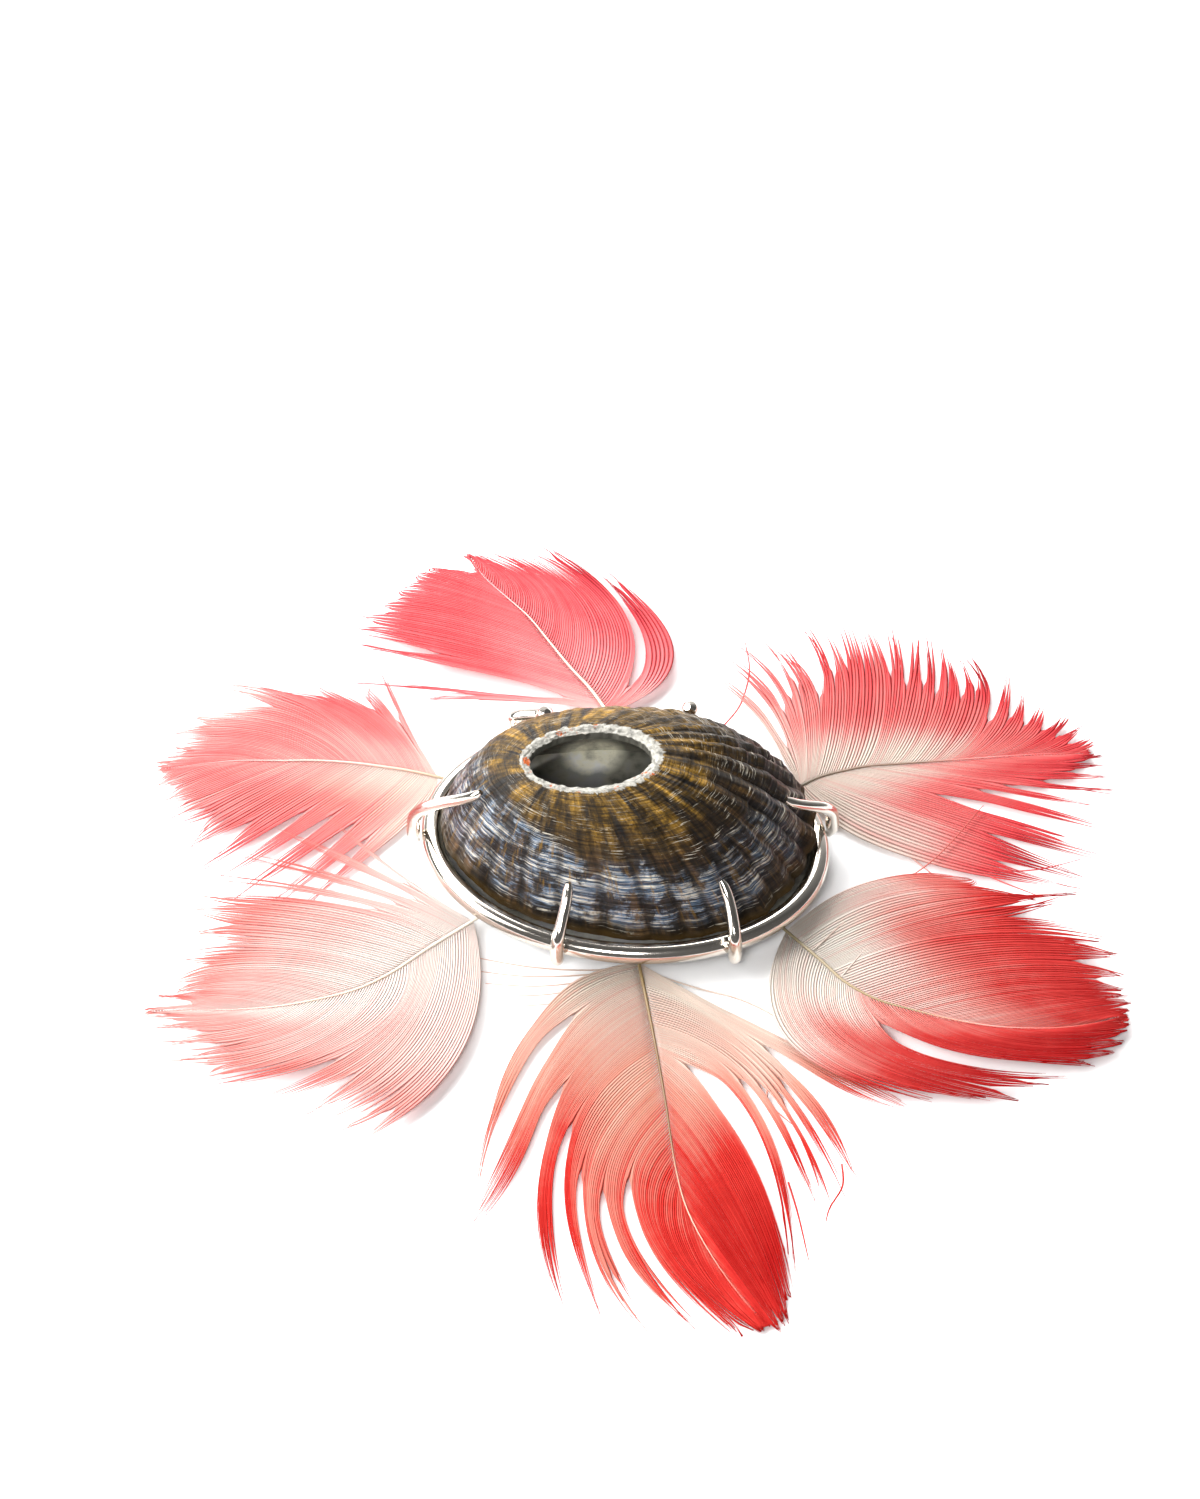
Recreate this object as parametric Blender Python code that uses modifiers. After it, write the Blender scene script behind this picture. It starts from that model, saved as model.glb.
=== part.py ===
"""Limpet shell in a silver claw setting, with six contour feathers laid out like petals.

The shell is open at the top, where its worn apex was ground away. It sits in an oval
wire ring and six wire claws bend over its flanks. A plate closes the setting under the
hollow, and the quills of the feathers lie between that plate and a flat backing disc.

Units are metres, +Z is up, and the origin is the centre of the flat underside.
All plan sizes below are written in millimetres and scaled by MM.
"""

import math

import bmesh
import bpy
from mathutils import Vector

MM = 0.001
OBJECT_NAME = "limpet_shell_in_claw_setting"

# Shell: an egg-shaped margin that narrows upwards to the oval hole
MARGIN_LENGTH_HALF = 21.6
MARGIN_WIDTH_HALF = 15.4
MARGIN_EGG = 2.4
MARGIN_CENTRE = (0.2, 1.7)
MARGIN_TURN = math.radians(-2.0)
MARGIN_Z = 3.5
SEAT_GAP = 0.35
HOLE_CENTRE = (-4.0, 0.3)
HOLE_LENGTH_HALF = 7.8
HOLE_WIDTH_HALF = 4.8
HOLE_TURN = math.radians(5.0)
HOLE_Z = 18.5
RIM_WIDTH = 1.1
WALL_AT_HOLE = 1.3
WALL_AT_MARGIN = 0.9
RIB_COUNT = 28
RIB_HEIGHT = 0.55
STEPS_PER_RIB = 3
OUTER_ROWS = 10
INNER_ROWS = 6

# Silver setting
RING_CENTRE = (0.0, 0.3)
RING_LENGTH_HALF = 22.6
RING_WIDTH_HALF = 16.4
RING_TURN = math.radians(-9.0)
RING_WIRE_RADIUS = 1.2
RING_Z = 3.6
CLAW_RADIUS = 0.68
CLAW_GAP = 0.25
PLATE_BOTTOM = 1.7
PLATE_THICK = 0.4
PLATE_INSET = 1.0

# Backing disc, the flat rest face
DISC_LENGTH_HALF = 15.0
DISC_WIDTH_HALF = 11.0
DISC_THICK = 0.6

# Feathers
SHEET_THICK = 0.25
QUILL_Z = 0.95
QUILL_HALF_WIDTH = 0.45
QUILL_RIDGE = 0.3
QUILL_HIDDEN = 8.0
VANE_STEPS = 6
SHAFT_APEX = 0.9
SHAFT_GAP = 0.07
CLOSING_REACH = 0.9
UPPER_LEVEL = 1.15
LOWER_LEVEL = 0.4

# name: (angle of the base seen from above, angle of the tip on the shell, height share)
CLAWS = {
    "claw_left": (179.0, 201.0, 0.50),
    "claw_front_left": (249.0, 249.0, 0.74),
    "claw_front_right": (299.0, 303.0, 0.76),
    "claw_right": (9.0, 356.0, 0.76),
    "claw_back_right": (69.0, 75.0, 0.86),
    "claw_back_left": (121.0, 121.0, 0.86),
}

# Each feather is drawn in plan from its points in the layout. The shaft runs from the
# ring to the tip. A lock of barbs is (where it leaves the shaft in percent of its
# length, its middle x and y, its tip x and y, percent of its length that stays joined
# to the next lock). "upper" says which feathers lie over their neighbours.
FEATHERS = {
    "feather_front": dict(
        upper=False,
        shaft=[(2, -15), (2, -22), (3, -30), (5, -40), (7, -49), (10, -57), (16, -65)],
        sides=[
            [(2, -10, -26, -16, -46, 35), (6, -9, -32, -18, -53, 50),
             (14, -7, -36, -8, -62, 40), (20, -5, -40, -3, -65, 50),
             (28, -3, -42, 2, -66, 45), (37, -1, -46, 8, -66, 45),
             (46, 2, -50, 11, -67, 45), (56, 5, -54, 13, -66, 90),
             (70, 9, -58, 15, -66, 90)],
            [(2, 15, -27, 31, -35, 50), (7, 16, -31, 26, -45, 45),
             (12, 16, -33, 24, -49, 55), (17, 14, -34, 21, -50, 50),
             (22, 14, -37, 18, -59, 40), (28, 14, -42, 18, -62, 12),
             (38, 13, -47, 17, -64, 90), (48, 11, -52, 17, -65, 90),
             (65, 11, -56, 16, -66, 90)],
        ]),
    "feather_lower_left": dict(
        upper=True,
        shaft=[(-17, -9), (-21, -13), (-26, -16), (-30, -19), (-34, -20), (-38, -22),
               (-43, -22), (-48, -22), (-54, -23)],
        sides=[
            [(3, -26, -5, -38, 9, 45), (7, -30, -4, -43, 4, 50), (12, -33, -5, -48, -3, 60),
             (18, -35, -8, -49, -7, 70), (25, -37, -11, -50, -11, 70),
             (33, -39, -13, -51, -15, 80), (44, -42, -17, -53, -18, 85),
             (60, -46, -20, -53, -20, 85)],
            [(2, -16, -19, -19, -31, 90), (6, -19, -24, -26, -40, 85),
             (12, -22, -26, -32, -40, 85), (19, -26, -27, -39, -37, 75),
             (30, -31, -27, -46, -34, 70), (44, -37, -27, -50, -31, 60),
             (56, -42, -26, -53, -28, 85), (70, -47, -24, -54, -25, 85)],
        ]),
    "feather_upper_left": dict(
        upper=False,
        shaft=[(-21, 12), (-26, 13), (-31, 14), (-36, 15), (-41, 15), (-46, 15),
               (-50, 15), (-55, 14)],
        sides=[
            [(2, -25, 21, -30, 31, 60), (6, -28, 22, -35, 27, 75), (12, -32, 23, -41, 27, 85),
             (21, -37, 23, -48, 27, 85), (31, -40, 21, -47, 24, 85),
             (41, -43, 20, -53, 21, 60), (53, -46, 18, -54, 18, 85),
             (68, -50, 16, -55, 15, 85)],
            [(2, -26, 5, -34, -3, 75), (8, -30, 5, -40, -6, 75), (17, -34, 6, -45, -5, 70),
             (28, -38, 8, -50, -2, 75), (39, -41, 9, -52, 2, 80), (50, -45, 10, -54, 6, 80),
             (61, -48, 12, -55, 9, 85), (73, -50, 13, -56, 11, 85)],
        ]),
    "feather_back": dict(
        upper=True,
        shaft=[(0, 17), (-1, 21), (-3, 25), (-6, 29), (-9, 34), (-12, 38), (-15, 42),
               (-19, 47)],
        sides=[
            [(10, -16, 24, -24, 24, 30), (16, -17, 26, -32, 26, 30), (24, -20, 30, -32, 33, 30),
             (33, -20, 33, -33, 35, 85), (43, -21, 36, -32, 37, 85),
             (53, -20, 39, -29, 40, 85), (63, -19, 42, -26, 43, 85),
             (74, -18, 44, -22, 45, 85)],
            [(4, 7, 29, 3, 39, 85), (10, 5, 32, -3, 45, 60), (18, 1, 33, -8, 48, 20),
             (26, -2, 38, -11, 48, 85), (36, -5, 40, -13, 48, 85),
             (48, -9, 42, -16, 48, 85), (62, -13, 43, -18, 48, 80)],
        ]),
    "feather_upper_right": dict(
        upper=False,
        shaft=[(21, 11), (24, 12), (27, 13), (30, 14), (35, 15), (40, 15), (44, 16),
               (49, 16), (56, 15)],
        sides=[
            [(2, 18, 20, 10, 30, 45), (6, 21, 23, 15, 35, 45), (11, 25, 24, 22, 36, 45),
             (19, 29, 24, 27, 36, 55), (28, 33, 24, 32, 36, 55), (36, 37, 24, 37, 35, 50),
             (45, 40, 23, 40, 32, 50), (54, 44, 21, 44, 29, 50), (62, 47, 19, 48, 26, 45),
             (70, 48, 19, 52, 23, 45), (79, 51, 18, 55, 19, 50)],
            [(4, 32, 2, 41, -8, 60), (10, 36, 3, 53, -5, 70), (22, 41, 7, 55, 0, 60),
             (38, 45, 10, 57, 4, 60), (53, 49, 11, 57, 9, 70), (68, 51, 13, 57, 13, 80)],
        ]),
    "feather_lower_right": dict(
        upper=True,
        shaft=[(18, -11), (22, -15), (25, -18), (28, -20), (32, -22), (36, -24), (40, -25),
               (45, -25), (50, -24), (57, -24)],
        sides=[
            [(2, 30, -4, 48, -4, 75), (8, 34, -7, 52, -5, 75), (15, 36, -11, 53, -8, 60),
             (24, 39, -14, 56, -12, 75), (33, 42, -17, 56, -16, 85),
             (44, 45, -20, 56, -19, 85), (57, 48, -22, 57, -21, 85),
             (72, 52, -23, 57, -23, 85)],
            [(2, 17, -23, 31, -34, 60), (8, 20, -25, 37, -35, 75), (17, 25, -27, 44, -35, 75),
             (24, 28, -28, 47, -34, 25), (33, 35, -29, 50, -32, 80),
             (46, 42, -29, 54, -29, 85), (61, 48, -27, 57, -26, 85)],
        ]),
}


def clear_scene():
    for obj in list(bpy.data.objects):
        bpy.data.objects.remove(obj, do_unlink=True)


def make_collection():
    group = bpy.data.collections.new(OBJECT_NAME)
    bpy.context.scene.collection.children.link(group)
    return group


def make_material(name, colour, roughness, metallic=0.0):
    material = bpy.data.materials.new(name)
    material.use_nodes = True
    shader = material.node_tree.nodes["Principled BSDF"]
    shader.inputs["Base Color"].default_value = (*colour, 1.0)
    shader.inputs["Roughness"].default_value = roughness
    shader.inputs["Metallic"].default_value = metallic
    material.diffuse_color = (*colour, 1.0)
    return material


def add_object(name, data, group, material):
    obj = bpy.data.objects.new(name, data)
    data.materials.append(material)
    group.objects.link(obj)
    return obj


def smoothstep(x):
    x = min(max(x, 0.0), 1.0)
    return x * x * (3.0 - 2.0 * x)


def turned_oval(centre, half_length, half_width, turn, angle, egg=0.0):
    """A point on an oval in plan; egg pushes the middle of both long sides along."""
    x = half_length * math.cos(angle) + egg * math.sin(angle) ** 2
    y = half_width * math.sin(angle)
    return Vector((centre[0] + x * math.cos(turn) - y * math.sin(turn),
                   centre[1] + x * math.sin(turn) + y * math.cos(turn), 0.0))


# Shell

def flank_drop(angle, share):
    """How far the flank has come down, from 0 at the hole to 1 at the margin.

    The flank is fuller at the left end, where it is short and steep.
    """
    fuller = max(0.0, -math.cos(angle))
    straight = 0.25 - 0.15 * fuller
    return straight * share + (1.0 - straight) * max(share, 0.0) ** (2.3 + 0.5 * fuller)


def margin_height(angle):
    """Where the margin reaches over the ring it is lifted onto the shoulder of the wire."""
    foot = turned_oval(MARGIN_CENTRE, MARGIN_LENGTH_HALF, MARGIN_WIDTH_HALF, MARGIN_TURN,
                       angle, MARGIN_EGG)
    x, y = foot.x - RING_CENTRE[0], foot.y - RING_CENTRE[1]
    along = x * math.cos(RING_TURN) + y * math.sin(RING_TURN)
    across = y * math.cos(RING_TURN) - x * math.sin(RING_TURN)
    share = math.hypot(along / RING_LENGTH_HALF, across / RING_WIDTH_HALF)
    inside = math.hypot(x, y) * (1.0 / share - 1.0) - RIB_HEIGHT
    reach = RING_WIRE_RADIUS + SEAT_GAP
    if inside >= reach:
        return MARGIN_Z
    lift = math.sqrt(reach ** 2 - max(inside, 0.0) ** 2)
    return max(MARGIN_Z, RING_Z + lift)


def bare_flank(angle, share):
    """The outer surface without its ribs, share 0 at the hole and 1 at the margin."""
    top = turned_oval(HOLE_CENTRE, HOLE_LENGTH_HALF, HOLE_WIDTH_HALF, HOLE_TURN, angle)
    foot = turned_oval(MARGIN_CENTRE, MARGIN_LENGTH_HALF, MARGIN_WIDTH_HALF, MARGIN_TURN,
                       angle, MARGIN_EGG)
    point = top.lerp(foot, share)
    low = margin_height(angle)
    point.z = low + (HOLE_Z - low) * (1.0 - flank_drop(angle, share))
    return point


def flank_normal(angle, share):
    step = 0.01
    along = bare_flank(angle + step, share) - bare_flank(angle - step, share)
    down = bare_flank(angle, share + step) - bare_flank(angle, share - step)
    return down.cross(along).normalized()


def rib_height(place, angle, share):
    """Broad rounded ribs with narrow furrows, stronger at the back right."""
    side = 1.0 + 0.7 * max(0.0, math.cos(angle - math.radians(30.0)))
    wave = abs(math.sin(0.5 * RIB_COUNT * place)) - 0.55
    return RIB_HEIGHT * side * wave * (0.12 + 0.88 * share)


def outer_shell_point(place, share):
    """The ribs wander a little, so their spacing is uneven round the shell."""
    angle = place + 0.035 * math.sin(3.0 * place + 0.5) + 0.02 * math.sin(7.0 * place)
    lift = rib_height(place, angle, share)
    lift += 0.12 * math.sin(9.0 * share + 2.0 * math.sin(2.0 * angle)) * share
    return bare_flank(angle, share) + flank_normal(angle, share) * lift


def inner_shell_point(place, share):
    angle = place
    top = turned_oval(HOLE_CENTRE, HOLE_LENGTH_HALF - RIM_WIDTH, HOLE_WIDTH_HALF - RIM_WIDTH,
                      HOLE_TURN, angle)
    foot = turned_oval(MARGIN_CENTRE, MARGIN_LENGTH_HALF - WALL_AT_MARGIN,
                       MARGIN_WIDTH_HALF - WALL_AT_MARGIN, MARGIN_TURN, angle, MARGIN_EGG)
    point = top.lerp(foot, share)
    low = margin_height(angle)
    point.z = low + (HOLE_Z - WALL_AT_HOLE - low) * (1.0 - flank_drop(angle, share))
    return point


def rim_point(place):
    """The inner edge of the ground rim, a little uneven where the shell chipped."""
    point = turned_oval(HOLE_CENTRE, HOLE_LENGTH_HALF - RIM_WIDTH, HOLE_WIDTH_HALF - RIM_WIDTH,
                        HOLE_TURN, place)
    point.z = HOLE_Z - 0.25 + 0.1 * math.sin(11.0 * place) + 0.08 * math.sin(17.0 * place)
    return point


def loft_closed_rings(name, rings, group, material):
    """Join rings of equal count one after the other, and the last to the first."""
    mesh = bpy.data.meshes.new(name)
    build = bmesh.new()
    rows = [[build.verts.new(p * MM) for p in ring] for ring in rings]
    for row, following in zip(rows, rows[1:] + rows[:1]):
        for i in range(len(row)):
            k = (i + 1) % len(row)
            build.faces.new((row[i], following[i], following[k], row[k]))
    bmesh.ops.recalc_face_normals(build, faces=build.faces)
    build.to_mesh(mesh)
    build.free()
    obj = add_object(name, mesh, group, material)
    mesh.shade_smooth()
    mesh.set_sharp_from_angle(angle=math.radians(50.0))
    return obj


def make_shell(group, material):
    count = RIB_COUNT * STEPS_PER_RIB
    places = [2.0 * math.pi * i / count for i in range(count)]
    rings = []
    for row in range(OUTER_ROWS + 1):
        rings.append([outer_shell_point(a, row / OUTER_ROWS) for a in places])
    for row in range(INNER_ROWS, -1, -1):
        rings.append([inner_shell_point(a, row / INNER_ROWS) for a in places])
    rings.append([rim_point(a) for a in places])
    return loft_closed_rings("limpet_shell", rings, group, material)


# Setting

def oval_points(half_length, half_width, turn, count, centre=RING_CENTRE):
    return [turned_oval(centre, half_length, half_width, turn, 2.0 * math.pi * i / count)
            for i in range(count)]


def poly_curve(name, points, closed, dimensions="3D"):
    curve = bpy.data.curves.new(name, "CURVE")
    curve.dimensions = dimensions
    spline = curve.splines.new("POLY")
    spline.points.add(len(points) - 1)
    for place, point in zip(spline.points, points):
        place.co = (point.x * MM, point.y * MM, point.z * MM, 1.0)
    spline.use_cyclic_u = closed
    spline.use_smooth = True
    return curve


def weld(obj):
    modifier = obj.modifiers.new("Weld", "WELD")
    modifier.merge_threshold = 0.00001
    return obj


def make_ring(group, material):
    points = oval_points(RING_LENGTH_HALF, RING_WIDTH_HALF, RING_TURN, 52)
    curve = poly_curve("setting_ring", points, closed=True)
    curve.bevel_depth = RING_WIRE_RADIUS * MM
    curve.bevel_resolution = 2
    ring = add_object("setting_ring", curve, group, material)
    ring.location.z = RING_Z * MM
    return ring


def ring_outward(angle):
    """The ring's centreline point in plan and the level direction out of the ring."""
    a = angle - RING_TURN
    point = turned_oval(RING_CENTRE, RING_LENGTH_HALF, RING_WIDTH_HALF, RING_TURN, a)
    ahead = turned_oval(RING_CENTRE, RING_LENGTH_HALF, RING_WIDTH_HALF, RING_TURN, a + 0.01)
    tangent = (ahead - point).normalized()
    return point, Vector((tangent.y, -tangent.x, 0.0))


def bezier(a, b, c, d, t):
    s = 1.0 - t
    return a * s ** 3 + b * (3 * s * s * t) + c * (3 * s * t * t) + d * t ** 3


def claw_path(base_angle, tip_angle, tip_share):
    """Up the outside of the ring, then over it and along the shell's flank."""
    foot, out = ring_outward(math.radians(base_angle))
    clear = RING_WIRE_RADIUS + CLAW_RADIUS + CLAW_GAP
    low = foot + out * (clear - 0.5)
    low.z = RING_Z - clear * 0.62
    side = foot + out * clear
    side.z = RING_Z + 0.2
    above = foot + out * (clear - 0.1)
    above.z = RING_Z + 2.1
    tip_place = math.radians(tip_angle)
    lift = CLAW_RADIUS + CLAW_GAP + 0.8 * RIB_HEIGHT
    tip = bare_flank(tip_place, tip_share) + flank_normal(tip_place, tip_share) * lift
    along = (bare_flank(tip_place, tip_share - 0.05) - bare_flank(tip_place, tip_share))
    before = tip - along.normalized() * 2.6
    path = [low, low.lerp(side, 0.5) + out * 0.25, side]
    reach = (tip - above).length
    for i in range(8):
        t = i / 7
        path.append(bezier(above, above + Vector((0, 0, 0.28 * reach)), before, tip, t))
    return path


def make_claw(name, base_angle, tip_angle, tip_share, group, material):
    path = claw_path(base_angle, tip_angle, tip_share)
    curve = poly_curve(name, path, closed=False)
    curve.bevel_depth = CLAW_RADIUS * MM
    curve.bevel_resolution = 2
    curve.use_fill_caps = True
    points = curve.splines[0].points
    points[0].radius = 0.55
    points[-2].radius = 0.92
    points[-1].radius = 0.5
    return weld(add_object(name, curve, group, material))


def make_flat_oval(name, centre, half_length, half_width, bottom, thick, group, material):
    points = oval_points(half_length, half_width, RING_TURN, 44, centre)
    curve = poly_curve(name, points, closed=True, dimensions="2D")
    curve.fill_mode = "BOTH"
    curve.extrude = 0.5 * thick * MM
    oval = add_object(name, curve, group, material)
    oval.location.z = (bottom + 0.5 * thick) * MM
    return weld(oval)


# Feathers

def through_points(points, t):
    """A smooth curve through evenly weighted points, t from 0 to 1."""
    place = min(max(t, 0.0), 1.0) * (len(points) - 1)
    i = min(int(place), len(points) - 2)
    f = place - i
    before = points[max(i - 1, 0)]
    a, b = points[i], points[i + 1]
    after = points[min(i + 2, len(points) - 1)]
    slope_a, slope_b = (b - before) * 0.5, (after - a) * 0.5
    return (a * (2 * f ** 3 - 3 * f * f + 1) + slope_a * (f ** 3 - 2 * f * f + f)
            + b * (3 * f * f - 2 * f ** 3) + slope_b * (f ** 3 - f * f))


class Feather:
    """The plan of one feather: its shaft, and the barbs that leave it on each side."""

    def __init__(self, upper, shaft, sides):
        self.level = UPPER_LEVEL if upper else LOWER_LEVEL
        self.shaft = [Vector((x, y, 0.0)) for x, y in shaft]
        first = (self.shaft[0] - self.shaft[1]).normalized()
        self.quill_end = self.shaft[0] + first * QUILL_HIDDEN
        self.sides = [[(t / 100, Vector((mx, my, 0)), Vector((x, y, 0)), joined / 100)
                       for t, mx, my, x, y, joined in locks] for locks in sides]

    def shaft_at(self, t):
        if t < 0.0:
            return self.shaft[0].lerp(self.quill_end, -t)
        return through_points(self.shaft, t)

    def shaft_height(self, t):
        return QUILL_Z + (self.level - QUILL_Z) * smoothstep(t / 0.25)

    def across(self, t):
        ahead, behind = self.shaft_at(min(t + 0.01, 1.0)), self.shaft_at(t - 0.01)
        along = (ahead - behind).normalized()
        return Vector((-along.y, along.x, 0.0))

    def half_width(self, t):
        return QUILL_HALF_WIDTH * (1.0 - 0.7 * max(t, 0.0))

    def barb(self, root, middle, tip, v, t):
        """A point on a barb that passes its middle point half way out."""
        control = middle * 2.0 - (root + tip) * 0.5
        point = root * (1 - v) ** 2 + control * (2 * v * (1 - v)) + tip * v * v
        high = self.shaft_height(t)
        point.z = high + (self.level - high) * smoothstep(2.5 * v)
        return point


def closing_lock(feather, side_sign):
    """The last short lock beside the end of the shaft."""
    out = feather.across(0.92) * (side_sign * CLOSING_REACH)
    return 0.84, feather.shaft_at(0.92) + out, feather.shaft_at(1.0) + out * 0.6, 0.84


def lock_edges(locks, end):
    """The lines between neighbouring locks: root place, middle, tip and joined share."""
    first, second = locks[0], locks[1]
    edges = [(0.0, first[1] + (first[1] - second[1]) * 0.5,
              first[2] + (first[2] - second[2]) * 0.25, 0.0)]
    for a, b in zip(locks, locks[1:]):
        edges.append(((a[0] + b[0]) * 0.5, (a[1] + b[1]) * 0.5, (a[2] + b[2]) * 0.5, a[3]))
    edges.append(end)
    return edges


def narrowing(v, joined):
    """Share of its full width that a lock keeps at v, once it is past its joined part."""
    if v <= joined:
        return 1.0
    past = (v - joined) / (1.0 - joined)
    return max(0.0, 0.78 * (1.0 - past) ** 0.6)


def side_rows(feather, locks, side_sign, shaft_edge, end_row, build):
    """Vertices of one side: for each lock, the rows along its two edges and what lies
    between their roots on the shaft.
    """
    end = (SHAFT_APEX, feather.shaft_at(0.95), feather.shaft_at(1.0), 0.84)
    edges = lock_edges(locks, end)
    shared = []
    for place, middle, tip, joined in edges[:-1]:
        root = shaft_edge[place].co / MM
        keep = max(1, round(joined * VANE_STEPS))
        row = [shaft_edge[place]]
        for k in range(1, VANE_STEPS + 1):
            v = k / VANE_STEPS
            point = feather.barb(Vector((root.x, root.y, 0)), middle, tip, v, place)
            row.append(build.verts.new(point * MM) if k <= keep else point)
        shared.append(row)
    shared.append(end_row)
    rows = []
    for i, (place, middle, tip, joined) in enumerate(locks):
        root = feather.shaft_at(place) + feather.across(place) * (
            side_sign * feather.half_width(place))
        centre = [feather.barb(root, middle, tip, k / VANE_STEPS, place)
                  for k in range(VANE_STEPS + 1)]
        point = build.verts.new(centre[-1] * MM)
        pair = []
        for line, depth in ((shared[i], edges[i][3]), (shared[i + 1], edges[i + 1][3])):
            row = []
            for k in range(VANE_STEPS):
                item = line[k]
                if isinstance(item, Vector):
                    share = narrowing(k / VANE_STEPS, depth)
                    item = build.verts.new(centre[k].lerp(item, share) * MM)
                row.append(item)
            pair.append(row + [point])
        between = [shaft_edge[t] for t in sorted(shaft_edge)
                   if edges[i][0] < t < edges[i + 1][0]]
        rows.append((*pair, between))
    return rows


def vane_faces(rows, build):
    for near, far, between in rows:
        build.faces.new([near[0], near[1], far[1], far[0]] + between[::-1])
        for k in range(1, VANE_STEPS - 1):
            build.faces.new((near[k], near[k + 1], far[k + 1], far[k]))
        build.faces.new((near[VANE_STEPS - 1], near[VANE_STEPS], far[VANE_STEPS - 1]))


def shaft_chain(feather, places, offset, build):
    """Vertices along one line of the shaft, keyed by their place along it."""
    chain = {}
    for t in places:
        point = feather.shaft_at(t) + feather.across(t) * (offset * feather.half_width(t))
        ridge = QUILL_RIDGE * (1.0 - 0.6 * max(t, 0.0)) if offset == 0 else 0.0
        point.z = feather.shaft_height(t) + ridge
        chain[t] = build.verts.new(point * MM)
    return chain


def shaft_faces(ridge, edge, apex, build):
    """Fill between the ridge line and one edge line of the shaft."""
    places = sorted(ridge)
    for a, b in zip(places, places[1:]):
        build.faces.new((edge[b], edge[a], ridge[a], ridge[b]))
    build.faces.new((edge[places[-1]], ridge[places[-1]], apex))


def shaft_places(feather):
    """Where the shaft has vertices: at the roots of the locks, and evenly in long gaps."""
    places = {-1.0, -0.5, 0.0}
    for locks in feather.sides:
        places.update((a[0] + b[0]) * 0.5 for a, b in zip(locks, locks[1:]))
    roots = sorted(t for t in places if t >= 0.0) + [SHAFT_APEX]
    for a, b in zip(roots, roots[1:]):
        parts = math.ceil((b - a) / SHAFT_GAP)
        places.update(a + (b - a) * i / parts for i in range(1, parts))
    return sorted(places)


def make_feather(name, plan, group, material):
    feather = Feather(**plan)
    build = bmesh.new()
    signs = feather_signs(feather)
    for sign, locks in zip(signs, feather.sides):
        locks.append(closing_lock(feather, sign))
    places = shaft_places(feather)
    ridge = shaft_chain(feather, places, 0, build)
    end_row = []
    for k in range(VANE_STEPS + 1):
        t = SHAFT_APEX + (1.0 - SHAFT_APEX) * k / VANE_STEPS
        point = feather.shaft_at(t)
        point.z = feather.level
        end_row.append(build.verts.new(point * MM) if k < VANE_STEPS else point)
    for sign, locks in zip(signs, feather.sides):
        edge = shaft_chain(feather, places, sign, build)
        shaft_faces(ridge, edge, end_row[0], build)
        vane_faces(side_rows(feather, locks, sign, edge, end_row, build), build)
    bmesh.ops.recalc_face_normals(build, faces=build.faces)
    mesh = bpy.data.meshes.new(name)
    build.to_mesh(mesh)
    build.free()
    obj = add_object(name, mesh, group, material)
    mesh.shade_smooth()
    solid = obj.modifiers.new("Solidify", "SOLIDIFY")
    solid.thickness = SHEET_THICK * MM
    solid.offset = 0.0
    return obj


def feather_signs(feather):
    """Which way each side lies from the shaft: +1 to its left, -1 to its right."""
    signs = []
    for locks in feather.sides:
        middle = locks[len(locks) // 2]
        toward = middle[1] - feather.shaft_at(middle[0])
        signs.append(1.0 if toward.dot(feather.across(middle[0])) > 0 else -1.0)
    return signs


def main():
    clear_scene()
    group = make_collection()
    shell_brown = make_material("shell_brown", (0.16, 0.12, 0.07), 0.45)
    silver = make_material("polished_silver", (0.86, 0.84, 0.81), 0.12, 1.0)
    backing = make_material("backing_leather", (0.72, 0.66, 0.6), 0.8)
    make_shell(group, shell_brown)
    make_ring(group, silver)
    for name, (base, tip, share) in CLAWS.items():
        make_claw(name, base, tip, share, group, silver)
    make_flat_oval("back_plate", RING_CENTRE, RING_LENGTH_HALF - PLATE_INSET,
                   RING_WIDTH_HALF - PLATE_INSET, PLATE_BOTTOM, PLATE_THICK, group, silver)
    make_flat_oval("backing_disc", (0.0, 0.0), DISC_LENGTH_HALF, DISC_WIDTH_HALF, 0.0,
                   DISC_THICK, group, backing)
    colours = {"feather_lower_left": (0.9, 0.62, 0.58), "feather_upper_left": (0.9, 0.5, 0.48)}
    for name, plan in FEATHERS.items():
        colour = colours.get(name, (0.85, 0.33, 0.32))
        material = make_material(name + "_pink", colour, 0.6)
        make_feather(name, plan, group, material)


main()
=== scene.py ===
"""The looks of a limpet shell in a silver claw setting, with six contour feathers.

The file is laid out as a Blender add-on and run as a script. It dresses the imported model:
the shell gets its growth lines and colours, the wire its polish, and each feather its
shaft and its barbs. Plan sizes of the layout are in millimetres and scaled by MM.
"""

import math

import bmesh
import bpy
import numpy as np
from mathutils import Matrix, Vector


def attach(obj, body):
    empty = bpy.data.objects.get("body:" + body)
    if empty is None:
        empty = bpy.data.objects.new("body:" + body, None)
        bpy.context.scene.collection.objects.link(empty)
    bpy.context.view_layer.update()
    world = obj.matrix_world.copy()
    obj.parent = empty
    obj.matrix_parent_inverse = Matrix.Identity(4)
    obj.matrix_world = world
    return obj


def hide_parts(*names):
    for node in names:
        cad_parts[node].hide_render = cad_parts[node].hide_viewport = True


bl_info = {
    "name": "Limpet shell in a claw setting",
    "version": (1, 0, 0),
    "blender": (4, 5, 0),
    "location": "3D View > Sidebar > Limpet",
    "description": "Models a ground limpet shell, its silver setting and its feathers",
    "category": "Object",
}

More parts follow.
